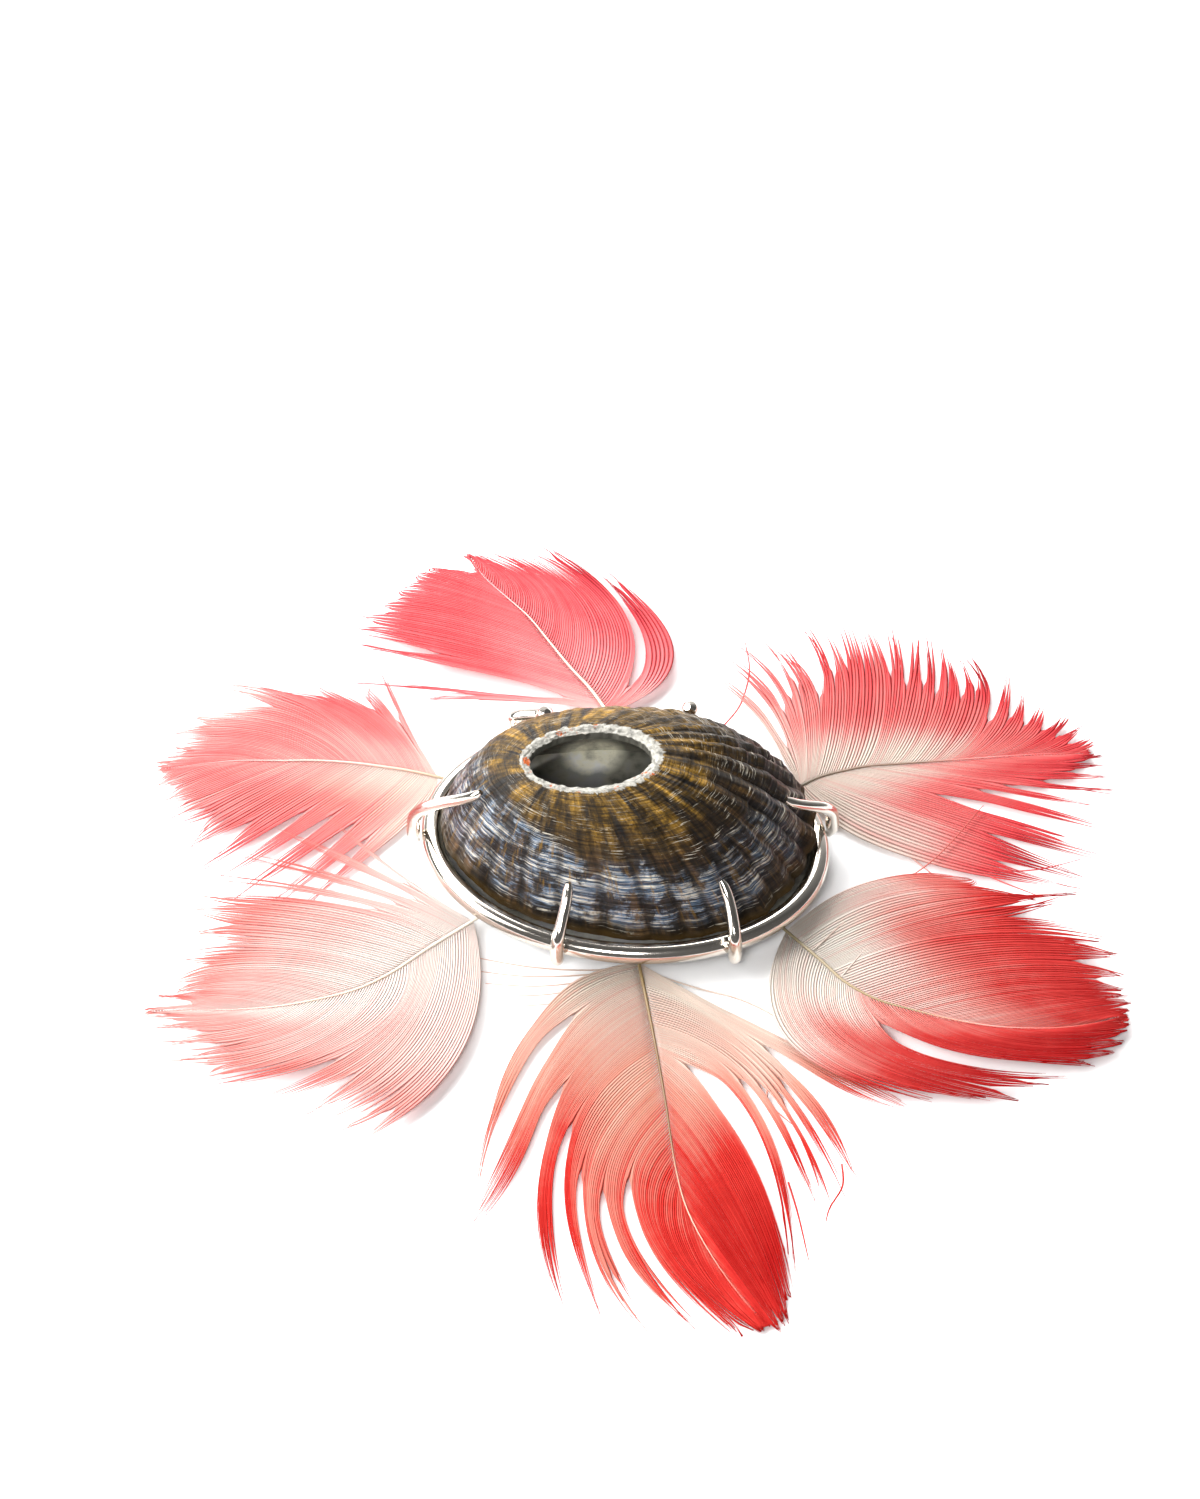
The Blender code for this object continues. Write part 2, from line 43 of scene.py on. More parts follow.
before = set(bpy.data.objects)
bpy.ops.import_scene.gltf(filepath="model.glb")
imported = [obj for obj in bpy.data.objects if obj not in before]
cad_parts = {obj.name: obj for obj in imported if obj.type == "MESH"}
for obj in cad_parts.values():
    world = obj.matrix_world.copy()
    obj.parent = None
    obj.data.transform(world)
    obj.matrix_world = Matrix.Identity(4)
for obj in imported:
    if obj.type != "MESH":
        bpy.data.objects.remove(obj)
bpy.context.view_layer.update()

MM = 0.001
TAU = 2.0 * math.pi
BODY = "root"

# Ovals in plan: centre, half length, half width, turn, egg
HOLE = ((-4.0, 0.3), 7.8, 4.8, math.radians(5.0), 0.0)
MARGIN = ((0.2, 1.7), 21.6, 15.4, math.radians(-2.0), 2.4)
RING = ((0.0, 0.3), 22.6, 16.4, math.radians(-9.0), 0.0)
HOLE_Z = 18.5
MARGIN_Z = 3.5
RING_Z = 3.6
WIRE_RADIUS = 1.2
CLAW_RADIUS = 0.68
SEAT_GAP = 0.35
SHOULDER = 0.55
SEAT_INSET = 1.45
SEAT_DROP = 1.75
FRONT_BULGE = 0.45
WALL_AT_HOLE = 1.3
WALL_AT_MARGIN = 0.9
RIB_COUNT = 28

# The shell's grid: columns round it, rows on the outside, the ground rim and the hollow
COLUMNS = 340
OUTER_ROWS = 236
RIM_ROWS = 10
INNER_ROWS = 34
TORUS_RADIUS = 18.0
TORUS_TUBE = 5.0

# name: angle of its foot on the ring, angle of its tip on the shell, share of the way from
# the hole to the margin at which the tip lies, and whether the tip is a ball
CLAWS = {
    "left": (179.0, 201.0, 0.50, False),
    "front_left": (249.0, 249.0, 0.74, False),
    "front_right": (299.0, 303.0, 0.76, False),
    "right": (9.0, 356.0, 0.76, False),
    "back_right": (69.0, 75.0, 0.86, True),
    "back_left": (121.0, 121.0, 0.86, True),
}

CLAW_GAP = 0.25
TIP_LIFT = 0.44
TIP_RUN = 2.6
# Thickness along a claw as a share of its radius, from the foot to the tip
BALL_CLAW = [0.6, 0.9, 1.0] + [0.95] * 9 + [0.9, 1.0, 1.35, 1.25, 0.55]
PLAIN_CLAW = ([0.55, 0.95, 1.12, 1.1] + [1.05 - 0.02 * i for i in range(9)]
              + [0.87, 0.84, 0.76, 0.45])

CAMERA_PLACE = (-0.00291, -0.40066, 0.49793)
CAMERA_TILT = math.radians(40.0)

# The point of the hollow that shows through the hole, round which light from the hole is painted
# as a pale pool
PAINTED_LIGHT_POINT = (-0.0039, 0.0152, 0.0024)

QUILL_Z = 0.95
UPPER_LEVEL = 1.15
LOWER_LEVEL = 0.4
BARB_SIDES = 3
BARB_STATIONS = 30
SHAFT_SIDES = 8
SHAFT_STATIONS = 70
LAST_ROOT = 0.985

# Shaft points from the ring to the tip. A lock of barbs is: percent of the shaft where it
# leaves, middle x and y, tip x and y, percent of its length joined to the next lock, redness
# from 0 to 9 at its root, middle and tip, and for a hooked lock the hook's x and y. A stray
# is a loose barb with a path of its own.
FEATHERS = {
    "front": dict(
        upper=False,
        shaft=[(1.5, -15.5), (2.5, -21.5), (3.5, -28), (4.5, -35.5), (5.5, -44), (7, -50.5),
               (10.5, -58), (15, -65)],
        sides=[
            [(3.6, -10.5, -26, -16.5, -46, 20, "025"),
             (9, -8.5, -30.5, -17.5, -52, 32, "136", -3.5, 0),
             (21, -8, -41, -7, -62, 24, "268"), (27, -6, -42, -2.5, -65, 36, "367"),
             (35.5, -4, -47.5, 2, -65.5, 34, "355"), (41.5, -1, -49.5, 7.5, -65.5, 22, "456"),
             (49, 2, -51, 12, -66, 95, "567"), (55.5, 4.5, -54, 14, -65.5, 95, "678"),
             (66, 8.5, -57.5, 14.5, -65.5, 95, "677")],
            [(2.1, 16, -26, 31.5, -35.5, 35, "016"), (8.5, 15, -28, 25.5, -45.5, 32, "016"),
             (13, 14.5, -29, 24, -47.5, 30, "127"), (17.5, 15, -31.5, 22.5, -49.5, 28, "127"),
             (20, 14, -32, 21, -48.5, 24, "127"), (25, 14, -35.5, 18.5, -58, 5, "148"),
             (29.5, 13, -42.5, 18, -61, 95, "279"), (39.5, 11.5, -46.5, 17.5, -64, 95, "479"),
             (51, 11, -51.5, 17, -64.5, 95, "688"), (65, 11, -56.5, 16.5, -65.5, 95, "688")],
        ],
        strays=[
            ([(0.5, -16), (-5, -16.3), (-11, -15.8), (-17, -14.5)], "012"),
            ([(0.5, -16.2), (-5, -17), (-11, -17.2), (-16.5, -16.5)], "012"),
            ([(1, -16.5), (-4, -17.8), (-10, -18.6), (-16, -18.2)], "012"),
            ([(1, -17), (-4, -18.6), (-9, -19.8), (-15, -20)], "012"),
            ([(1, -17), (-3, -19.2), (-8, -21), (-13, -21.5)], "012"),
            ([(1, -17.5), (-3, -19.8), (-7, -22), (-10.5, -24)], "012"),
            ([(3.5, -17), (8.5, -19), (13, -20.5), (17, -23), (21, -27), (25.5, -30)], "011"),
            ([(15.5, -28.5), (16, -32), (16, -35), (18.5, -38)], "335"),
            ([(24, -43.5), (24, -46.5), (22.5, -49.5), (22, -51.5)], "678"),
            ([(18, -46), (19, -50.5), (20, -56.5)], "876"),
        ]),
    "lower_left": dict(
        upper=True,
        shaft=[(-17.5, -9.5), (-22.5, -13.5), (-26.5, -17), (-30.5, -19.5), (-35, -21),
               (-39.5, -22), (-44.5, -22.5), (-49.5, -22.5), (-54.5, -23)],
        sides=[
            [(0.0, -25.5, -3.5, -36, 7.5, 12, "014"), (1.8, -27, -4, -40, 3.5, 18, "025"),
             (4.2, -29, -5.5, -44.5, 0, 20, "026"), (7, -30.5, -7, -47.5, -3.5, 22, "026"),
             (9.5, -32.5, -8, -48.5, -6, 85, "037"), (13, -35, -10, -49.5, -8, 80, "025"),
             (19.5, -37, -12.5, -49.5, -11.5, 70, "025"),
             (27, -38.5, -14.5, -50.5, -15, 80, "025"),
             (35.5, -41, -17, -51.5, -18.5, 80, "024"), (47, -43, -19, -51.5, -20, 75, "124"),
             (61, -45.5, -21, -53.5, -20.5, 40, "136")],
            [(0.0, -18, -27.5, -28.5, -40, 80, "014"),
             (2.4, -20.5, -27.5, -31.5, -39, 72, "014"),
             (6.5, -22.5, -27.5, -34, -38, 75, "014"),
             (9.5, -25, -27.5, -36.5, -37.5, 62, "024"), (14, -27.5, -27, -42, -36, 50, "025"),
             (20, -30, -26.5, -47.5, -33.5, 55, "026"), (28.5, -34, -27, -47, -32, 85, "024"),
             (39, -37.5, -26.5, -51, -29.5, 75, "024"),
             (48.5, -41.5, -26, -53.5, -27, 70, "034"),
             (59.5, -44.5, -24.5, -54, -25, 70, "034"),
             (71, -47.5, -23.5, -54.5, -23, 70, "134")],
        ],
        strays=[]),
    "lower_right": dict(
        upper=True,
        shaft=[(18.5, -11), (22.5, -15.5), (25, -18.5), (28.5, -21), (32.5, -22.5), (37.5, -24),
               (43, -25), (50, -25), (57, -23.5)],
        sides=[
            [(1.4, 29, -5, 40, -3.5, 85, "015"), (5.5, 32.5, -6, 47, -6.5, 80, "027"),
             (10.5, 35, -9, 52, -5.5, 68, "049"), (18, 38, -12, 55, -12.5, 85, "068"),
             (27, 40.5, -14.5, 56, -14.5, 80, "168"), (37, 43, -17, 56.5, -17.5, 80, "268"),
             (48.5, 44.5, -19.5, 56.5, -19.5, 80, "268"),
             (58.5, 47, -21.5, 57, -20.5, 78, "268"), (69, 49, -23, 57.5, -21.5, 80, "368"),
             (82.5, 52.5, -24, 57, -22.5, 85, "578")],
            [(0.5, 19.5, -27, 35, -35.5, 75, "018"), (6, 22.5, -27.5, 40.5, -35, 85, "028"),
             (13.5, 25.5, -27.5, 43.5, -35, 85, "059"), (23, 29, -28.5, 47, -33, 80, "069"),
             (29, 32, -29, 49, -32, 12, "179"), (34, 35.5, -27.5, 52.5, -30.5, 90, "379"),
             (46.5, 40, -28, 54.5, -28.5, 88, "489"), (58.5, 44.5, -27.5, 56, -27, 85, "589"),
             (70, 48.5, -26.5, 56.5, -25.5, 85, "689"), (82.5, 52, -25.5, 57, -24.5, 85, "788")],
        ],
        strays=[
            ([(21.5, -14), (28, -7), (35.5, -1), (42, 7.5)], "035"),
            ([(24.5, -18), (32.5, -7), (35.5, -5), (40.5, -7)], "036"),
        ]),
    "upper_right": dict(
        upper=False,
        shaft=[(20.5, 10.5), (23.5, 12.5), (28, 14), (32.5, 14.5), (38, 15), (43, 15.5), (49, 16),
               (55, 16)],
        sides=[
            [(1.3, 18, 18.5, 10, 29, 25, "013", -2, 0),
             (2.0, 19, 20.5, 12, 31.5, 35, "025", -2, 0),
             (3.4, 20, 22, 13.5, 33.5, 40, "035", -2, 0),
             (4.8, 21, 22, 17, 34, 40, "035", -1.5, 0),
             (6.5, 22, 22, 18.5, 33, 45, "035", -1.5, 0),
             (11, 24.5, 23.5, 22, 36, 50, "058", -2, 0),
             (15.5, 26, 23.5, 24, 36, 55, "056", -1, 0),
             (20, 27.5, 23.5, 26.5, 36.5, 55, "056", -1, 0),
             (24.5, 29, 23.5, 28, 36.5, 55, "056", -1, 0),
             (29.5, 31, 23.5, 29.5, 36.5, 50, "056", -1, 0),
             (34, 32.5, 23.5, 32.5, 35.5, 50, "056", -0.5, 0),
             (38, 34.5, 23.5, 35, 35.5, 48, "057"), (42, 36, 23, 36.5, 35, 40, "058"),
             (45.5, 37.5, 23, 38, 33.5, 45, "057"),
             (48.5, 38.5, 22.5, 38.5, 32.5, 50, "057", -1, 0),
             (53, 40.5, 22, 40, 31, 60, "157", -1, 0),
             (56, 42.5, 22, 41, 31, 30, "159", -1.5, 0), (61.5, 44, 20.5, 46, 28.5, 45, "358"),
             (65, 46, 19.5, 47.5, 26, 45, "358"), (70, 47.5, 18.5, 50, 23.5, 50, "357"),
             (75, 49.5, 18, 52.5, 22, 50, "468"), (81.5, 51, 17.5, 54, 20.5, 45, "468"),
             (87, 53, 16.5, 55.5, 18, 45, "467")],
            [(4.4, 32.5, 2.5, 53.5, -4.5, 70, "018"), (9.5, 35, 5.5, 54.5, -3.5, 55, "029"),
             (16, 38, 7.5, 56, 0.5, 32, "058"), (24.5, 41, 10, 57, 4.5, 30, "057"),
             (32, 42.5, 11, 56, 8, 35, "057"), (39.5, 44, 12, 58, 10.5, 50, "158", 0, 1),
             (49.5, 46, 13, 57, 12.5, 60, "267"), (60.5, 48, 14, 56.5, 14.5, 60, "368"),
             (74.5, 50.5, 15, 56.5, 16, 60, "468")],
        ],
        strays=[
            ([(11.5, 20), (13.5, 23), (14.5, 26), (15, 29.5), (14.5, 34)], "556"),
            ([(24, 8.5), (31, 2.5), (35, -1.5), (39, -6)], "014"),
            ([(39, 1), (43.5, -1.5), (48, -1.5), (53, 0)], "557"),
            ([(40.5, -1.5), (44, -3.5), (48, -5.5)], "456"),
        ]),
    "upper_left": dict(
        upper=False,
        shaft=[(-22, 12), (-26.5, 13.5), (-31, 14.5), (-36, 15), (-40.5, 15), (-45.5, 15),
               (-50, 14.5), (-55, 13.5)],
        sides=[
            [(0.8, -26, 20.5, -30, 31, 6, "136"), (3.8, -26.5, 19.5, -32, 27, 55, "136"),
             (8, -28.5, 20.5, -36.5, 26.5, 80, "256"), (12.5, -31.5, 21, -40.5, 25.5, 92, "256"),
             (18, -34.5, 22, -43.5, 26.5, 95, "255"), (23, -37, 23, -47.5, 27, 60, "253"),
             (32, -40, 20.5, -51.5, 22, 80, "342"), (43, -44, 18.5, -54, 19, 70, "343"),
             (54.5, -46.5, 17, -54.5, 16.5, 70, "343"), (66, -49, 15.5, -55.5, 14.5, 70, "343")],
            [(1.4, -27, 5, -37.5, -7.5, 45, "014"), (6.5, -30, 5, -42, -7.5, 40, "035"),
             (12.5, -33, 6, -45, -5.5, 38, "046"), (19.5, -35.5, 7, -48, -3.5, 40, "046"),
             (28, -39, 7.5, -50, -1.5, 58, "156"), (37.5, -42.5, 8.5, -51, 2, 70, "255"),
             (50, -46, 10.5, -53.5, 6, 72, "244"), (61.5, -48.5, 12, -54.5, 8.5, 72, "343"),
             (72, -50.5, 13.5, -55, 11, 72, "343")],
        ],
        strays=[
            ([(-23, 13), (-26, 18.5), (-30, 23.5), (-30.5, 26.5)], "134"),
        ]),
    "back": dict(
        upper=True,
        shaft=[(-2, 22), (-4, 25.5), (-6.5, 29), (-9, 33), (-11.5, 37), (-14.5, 40.5),
               (-17, 43.5), (-19, 47)],
        sides=[
            [(2.2, -16, 24.5, -32, 26.5, 4, "157"), (4.2, -14, 23.5, -23.5, 24, 4, "023"),
             (8, -17, 28.5, -32.5, 32.5, 50, "267"), (17.5, -19, 31, -32, 35, 85, "366"),
             (31, -20.5, 34.5, -31.5, 37, 80, "366"), (42, -21, 37.5, -29, 39, 85, "466"),
             (53.5, -21, 40, -27, 41.5, 85, "566"), (64.5, -20.5, 42, -25, 44, 90, "566"),
             (73.5, -19.5, 43.5, -23.5, 45, 8, "567")],
            [(0.0, 6, 31, -2.5, 45, 80, "268"), (1.6, 3, 31, -3.5, 44.5, 4, "259"),
             (4.0, 0.5, 35.5, -9, 48, 88, "369"), (11.5, -2, 36.5, -11.5, 47.5, 75, "367"),
             (21, -5, 38, -13.5, 47.5, 75, "367"), (32, -7.5, 40, -15.5, 47.5, 75, "467"),
             (43.5, -9.5, 41, -17, 47, 75, "567"), (56.5, -12, 42, -18, 47, 80, "567"),
             (69.5, -15, 43.5, -19, 47, 80, "567")],
        ],
        strays=[]),
}


def srgb(red, green, blue):
    """A colour from 0 to 255, as a paint chart gives it, in linear values."""
    values = (v / 255.0 for v in (red, green, blue))
    return tuple(v / 12.92 if v <= 0.04045 else ((v + 0.055) / 1.055) ** 2.4 for v in values)


# How much earlier than at a crisp edge the barbs begin to taper, where it isn't 0.1
FRAYING = {"front": 0.02, "upper_right": 0.03, "lower_right": 0.05}
CRISP_BARBS = ("front", "lower_left", "lower_right")

# Feather colours at redness 0, 3, 6 and 9, and the shaft at its root and middle
TONES = ("pale", "pink", "red", "deep", "quill", "rachis")
PLUMAGE = {
    "front": (srgb(250, 236, 222), srgb(242, 172, 152), srgb(230, 58, 50),
              srgb(198, 18, 16), srgb(150, 130, 92), srgb(116, 86, 54)),
    "lower_left": (srgb(248, 236, 229), srgb(248, 178, 170), srgb(242, 110, 102),
                   srgb(196, 52, 48), srgb(240, 232, 218), srgb(236, 214, 190)),
    "lower_right": (srgb(246, 238, 228), srgb(238, 152, 142), srgb(222, 68, 64),
                    srgb(190, 26, 28), srgb(140, 128, 100), srgb(150, 130, 98)),
    "upper_right": (srgb(234, 218, 206), srgb(239, 138, 134), srgb(227, 78, 82),
                    srgb(176, 28, 38), srgb(120, 114, 100), srgb(136, 112, 96)),
    "upper_left": (srgb(240, 220, 210), srgb(245, 154, 151), srgb(240, 106, 108),
                   srgb(196, 50, 56), srgb(150, 138, 110), srgb(236, 180, 168)),
    "back": (srgb(242, 212, 206), srgb(246, 148, 150), srgb(238, 98, 104),
             srgb(196, 46, 58), srgb(236, 214, 186), srgb(236, 186, 168)),
}


# Sizes and colours a user can change

def length(name, description, default):
    return bpy.props.FloatProperty(name=name, description=description, default=default,
                                   min=0.0, unit="LENGTH", precision=5)


def number(name, description, default, low=0.0, high=1.0):
    return bpy.props.FloatProperty(name=name, description=description, default=default,
                                   min=low, max=high)


def tint(name, description, default):
    return bpy.props.FloatVectorProperty(name=name, description=description, default=default,
                                         subtype="COLOR", size=3, min=0.0, max=1.0)


class ShellSettings(bpy.types.PropertyGroup):
    rib_height: length("Rib height", "Height of the broad ribs at the margin", 0.00055)
    line_height: length("Growth line height", "Height of the fine growth lines", 0.00006)
    step_height: length("Growth step height", "Height of the steps where growth paused", 0.00016)
    rim_width: length("Rim width", "Width of the ground rim of the hole", 0.0008)
    dark: tint("Dark brown", "Colour of the furrows and bands", srgb(30, 22, 14))
    brown: tint("Brown", "Colour of the ribs", srgb(70, 52, 32))
    gold: tint("Golden brown", "Colour round the hole", srgb(120, 90, 30))
    # Partly the nacre's own colour and partly a painted sheen
    blue: tint("Blue grey", "Colour of the worn nacre near the margin", srgb(92, 116, 142))
    chalk: tint("Chalk", "Colour of the ground rim and the scratches", srgb(212, 205, 188))
    stain: tint("Stain", "Colour of the rusty spots on the ground rim", srgb(168, 78, 24))
    # Near white, as it shows in full only in the pool of light painted in the hollow
    hollow: tint("Hollow", "Colour of the inside of the shell", srgb(250, 246, 226))


class SettingSettings(bpy.types.PropertyGroup):
    wire: length("Ring wire radius", "Radius of the round wire of the ring", 0.0012)
    claw: length("Claw wire radius", "Radius of the claws at the ring", 0.00074)
    silver: tint("Silver", "Colour of the polished silver", (0.76, 0.705, 0.635))
    # Near white, as it shows in full only in the pool of light painted where the plate is seen
    # through the hole
    tarnish: tint("Tarnish", "Colour of the darkened plate under the hollow",
                  srgb(250, 246, 226))


class FeatherSettings(bpy.types.PropertyGroup):
    spacing: length("Barb spacing", "Distance between barbs along the shaft", 0.0004)
    thickness: length("Barb thickness", "Height of a barb", 0.00007)
    quill: length("Quill radius", "Radius of the shaft at the ring", 0.0002)
    camber: length("Camber", "Rise of the vane between shaft and edge", 0.0004)
    fill: number("Fill", "Width of a barb as a share of the room it has", 1.0, 0.1, 1.2)


for _feather, _colours in PLUMAGE.items():
    for _step, _colour in zip(TONES, _colours):
        FeatherSettings.__annotations__[f"{_feather}_{_step}"] = tint(
            f"{_feather} {_step}".replace("_", " ").capitalize(),
            f"The {_step} tone of the {_feather.replace('_', ' ')} feather", _colour)


class BackingSettings(bpy.types.PropertyGroup):
    half_length: length("Half length", "Half length of the disc", 0.015)
    half_width: length("Half width", "Half width of the disc", 0.011)
    thick: length("Thickness", "Thickness of the leather", 0.0006)
    leather: tint("Leather", "Colour of the leather", srgb(214, 200, 182))


class StageSettings(bpy.types.PropertyGroup):
    floor: length("Floor size", "Side of the square floor", 6.0)
    paper: tint("Floor colour", "Colour of the paper floor", (0.9, 0.9, 0.9))
    key: bpy.props.FloatProperty(name="Key light", description="Power of the softbox at the back",
                                 default=15.5, min=0.0, unit="POWER")
    fill: bpy.props.FloatProperty(name="Fill light", description="Power of the front softbox",
                                  default=3.5, min=0.0, unit="POWER")
    lens: bpy.props.FloatProperty(name="Lens", description="Focal length of the camera",
                                  default=131.75, min=10.0, unit="CAMERA")


# Small helpers for pieces

def start_piece():
    """Nothing is selected and nothing is being edited."""
    if bpy.context.mode != "OBJECT":
        bpy.ops.object.mode_set(mode="OBJECT")
    bpy.ops.object.select_all(action="DESELECT")


def finish_piece(obj, name, nodes=(), smooth=40.0):
    """Name a piece, put its place in its mesh, and let it ride for its nodes."""
    start_piece()
    obj.name = obj.data.name = name
    obj.select_set(True)
    bpy.context.view_layer.objects.active = obj
    bpy.ops.object.transform_apply(location=True, rotation=True, scale=True)
    if smooth:
        bpy.ops.object.shade_smooth_by_angle(angle=math.radians(smooth))
    obj.select_set(False)
    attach(obj, BODY)
    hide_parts(*nodes)
    return obj


def apply_modifier(obj, kind, **settings):
    modifier = obj.modifiers.new(kind.title(), kind)
    for key, value in settings.items():
        setattr(modifier, key, value)
    bpy.context.view_layer.objects.active = obj
    bpy.ops.object.modifier_apply(modifier=modifier.name)


def set_attribute(mesh, name, values):
    """Store one number or one vector per vertex."""
    values = np.asarray(values, np.float32)
    kind, key = ("FLOAT_VECTOR", "vector") if values.ndim == 2 else ("FLOAT", "value")
    attribute = mesh.attributes.new(name, kind, "POINT")
    attribute.data.foreach_set(key, values.ravel())


def smooth_step(x):
    x = np.clip(x, 0.0, 1.0)
    return x * x * (3.0 - 2.0 * x)


# Small helpers for materials

def node(tree, kind, inputs=None, **settings):
    new = tree.nodes.new("ShaderNode" + kind)
    for key, value in settings.items():
        setattr(new, key, value)
    for key, value in (inputs or {}).items():
        if isinstance(value, bpy.types.NodeSocket):
            tree.links.new(value, new.inputs[key])
        else:
            new.inputs[key].default_value = value
    return new


def attribute(tree, name, output="Fac"):
    return node(tree, "Attribute", attribute_name=name).outputs[output]


def ramp(tree, factor, *stops):
    """A colour ramp; each stop is a place and a colour or a grey value."""
    new = node(tree, "ValToRGB", {"Fac": factor})
    elements = new.color_ramp.elements
    while len(elements) < len(stops):
        elements.new(0.5)
    for element, (place, colour) in zip(elements, stops):
        element.position = place
        colour = (colour,) * 3 if isinstance(colour, (int, float)) else colour
        element.color = (*colour, 1.0)
    return new.outputs["Color"]


def mix(tree, factor, first, second, blend="MIX"):
    new = node(tree, "Mix", data_type="RGBA", blend_type=blend)
    for index, value in ((0, factor), (6, first), (7, second)):
        if isinstance(value, bpy.types.NodeSocket):
            tree.links.new(value, new.inputs[index])
        elif index == 0:
            new.inputs[index].default_value = value
        else:
            new.inputs[index].default_value = (*value, 1.0)
    return new.outputs[2]


def maths(tree, operation, first, second=0.0):
    return node(tree, "Math", {0: first, 1: second}, operation=operation).outputs[0]


def times(tree, first, second):
    return maths(tree, "MULTIPLY", first, second)


def multiplied(tree, first, second):
    """One colour darkened or lightened by another."""
    return mix(tree, 1.0, first, second, "MULTIPLY")


def shade(colour, share):
    """A colour made darker or lighter all over."""
    return tuple(min(1.0, share * c) for c in colour)


def stretched_noise(tree, vector, scale, detail, roughness):
    """Noise on a vector that is scaled by three numbers."""
    scaled = node(tree, "VectorMath", {0: vector, 1: scale}, operation="MULTIPLY")
    return node(tree, "TexNoise", {"Vector": scaled.outputs[0], "Scale": 1.0, "Detail": detail,
                                   "Roughness": roughness}).outputs["Fac"]


def surface_group():
    """Fine wear shared by the finishes: a mask for colour, a roughness and a height."""
    found = bpy.data.node_groups.get("fine_wear")
    if found:
        return found
    group = bpy.data.node_groups.new("fine_wear", "ShaderNodeTree")
    for name, value in (("Scale", 900.0), ("Stretch", 1.0), ("Roughness", 0.3),
                        ("Spread", 0.1)):
        socket = group.interface.new_socket(name, in_out="INPUT",
                                            socket_type="NodeSocketFloat")
        socket.default_value = value
    for name in ("Mask", "Roughness", "Height"):
        group.interface.new_socket(name, in_out="OUTPUT", socket_type="NodeSocketFloat")
    entry, leave = group.nodes.new("NodeGroupInput"), group.nodes.new("NodeGroupOutput")
    place = node(group, "TexCoord").outputs["Object"]
    stretch = node(group, "CombineXYZ", {"X": 1.0, "Y": entry.outputs["Stretch"], "Z": 1.0})
    scaled = node(group, "VectorMath", {0: place, 1: stretch.outputs[0]},
                  operation="MULTIPLY").outputs[0]
    broad = node(group, "TexNoise", {"Vector": scaled, "Scale": entry.outputs["Scale"],
                                     "Detail": 5.0, "Roughness": 0.6}).outputs["Fac"]
    fine = node(group, "TexNoise", {
        "Vector": scaled, "Scale": times(group, entry.outputs["Scale"], 4.0),
        "Detail": 3.0}).outputs["Fac"]
    offset = times(group, maths(group, "SUBTRACT", broad, 0.5), entry.outputs["Spread"])
    results = {"Mask": broad, "Height": fine,
               "Roughness": maths(group, "ADD", entry.outputs["Roughness"], offset)}
    for name, socket in results.items():
        group.links.new(socket, leave.inputs[name])
    return group


def painted_hole_light(tree, mask):
    """Painted light and shade in the hollow: pale next to the point that shows through the hole,
    painted shade further away.
    """
    place = node(tree, "TexCoord").outputs["Object"]
    away = node(tree, "VectorMath", {0: place, 1: PAINTED_LIGHT_POINT},
                operation="DISTANCE").outputs["Value"]
    wide = maths(tree, "ADD", times(tree, away, 100.0),
                 times(tree, maths(tree, "SUBTRACT", mask, 0.5), 0.35))
    return ramp(tree, wide, (0.28, 1.0), (0.42, 0.3), (0.9, 0.16))


def new_material(name):
    """An empty material with its Principled shader, and the tree that feeds it."""
    material = bpy.data.materials.new(name)
    material.use_nodes = True
    return material, material.node_tree, material.node_tree.nodes["Principled BSDF"]


def wear(tree, scale, stretch=1.0, roughness=0.3, spread=0.1):
    return node(tree, "Group", {"Scale": scale, "Stretch": stretch, "Roughness": roughness,
                                "Spread": spread}, node_tree=surface_group()).outputs


def dress(tree, shader, colour, marks):
    """Give a shader its colour and the roughness of its wear."""
    tree.links.new(colour, shader.inputs["Base Color"])
    tree.links.new(marks["Roughness"], shader.inputs["Roughness"])


def bump(tree, shader, height, distance, strength):
    new = node(tree, "Bump", {"Height": height, "Distance": distance, "Strength": strength})
    tree.links.new(new.outputs[0], shader.inputs["Normal"])


# Shell

def oval(shape, angle, inset=0.0):
    """Points on an oval in plan; egg pushes the middle of both long sides along."""
    (centre_x, centre_y), half_length, half_width, turn, egg = shape
    x = (half_length - inset) * np.cos(angle) + egg * np.sin(angle) ** 2
    y = (half_width - inset) * np.sin(angle)
    return (centre_x + x * math.cos(turn) - y * math.sin(turn),
            centre_y + x * math.sin(turn) + y * math.cos(turn))


def flank_drop(angle, share):
    """How far the flank has come down, from 0 at the hole to 1 at the margin."""
    fuller = np.maximum(0.0, -np.cos(angle))
    straight = 0.25 - 0.15 * fuller
    power = 2.3 + 0.5 * fuller
    return straight * share + (1.0 - straight) * np.maximum(share, 0.0) ** power


def from_ring(foot, inset=0.0):
    """A plan point seen from the ring's centre, and its share of the way to the inset oval."""
    (ring_x, ring_y), half_length, half_width, turn, _ = RING
    x, y = foot[0] - ring_x, foot[1] - ring_y
    along = x * math.cos(turn) + y * math.sin(turn)
    across = y * math.cos(turn) - x * math.sin(turn)
    return x, y, np.hypot(along / (half_length - inset), across / (half_width - inset))


def margin_height(angle):
    """Where the margin reaches over the ring it is lifted onto the shoulder of the wire."""
    x, y, share = from_ring(oval(MARGIN, angle))
    inside = np.hypot(x, y) * (1.0 / share - 1.0) - SHOULDER
    reach = WIRE_RADIUS + SEAT_GAP
    lift = np.sqrt(np.maximum(reach ** 2 - np.maximum(inside, 0.0) ** 2, 0.0))
    return np.where(inside >= reach, MARGIN_Z, np.maximum(MARGIN_Z, RING_Z + lift))


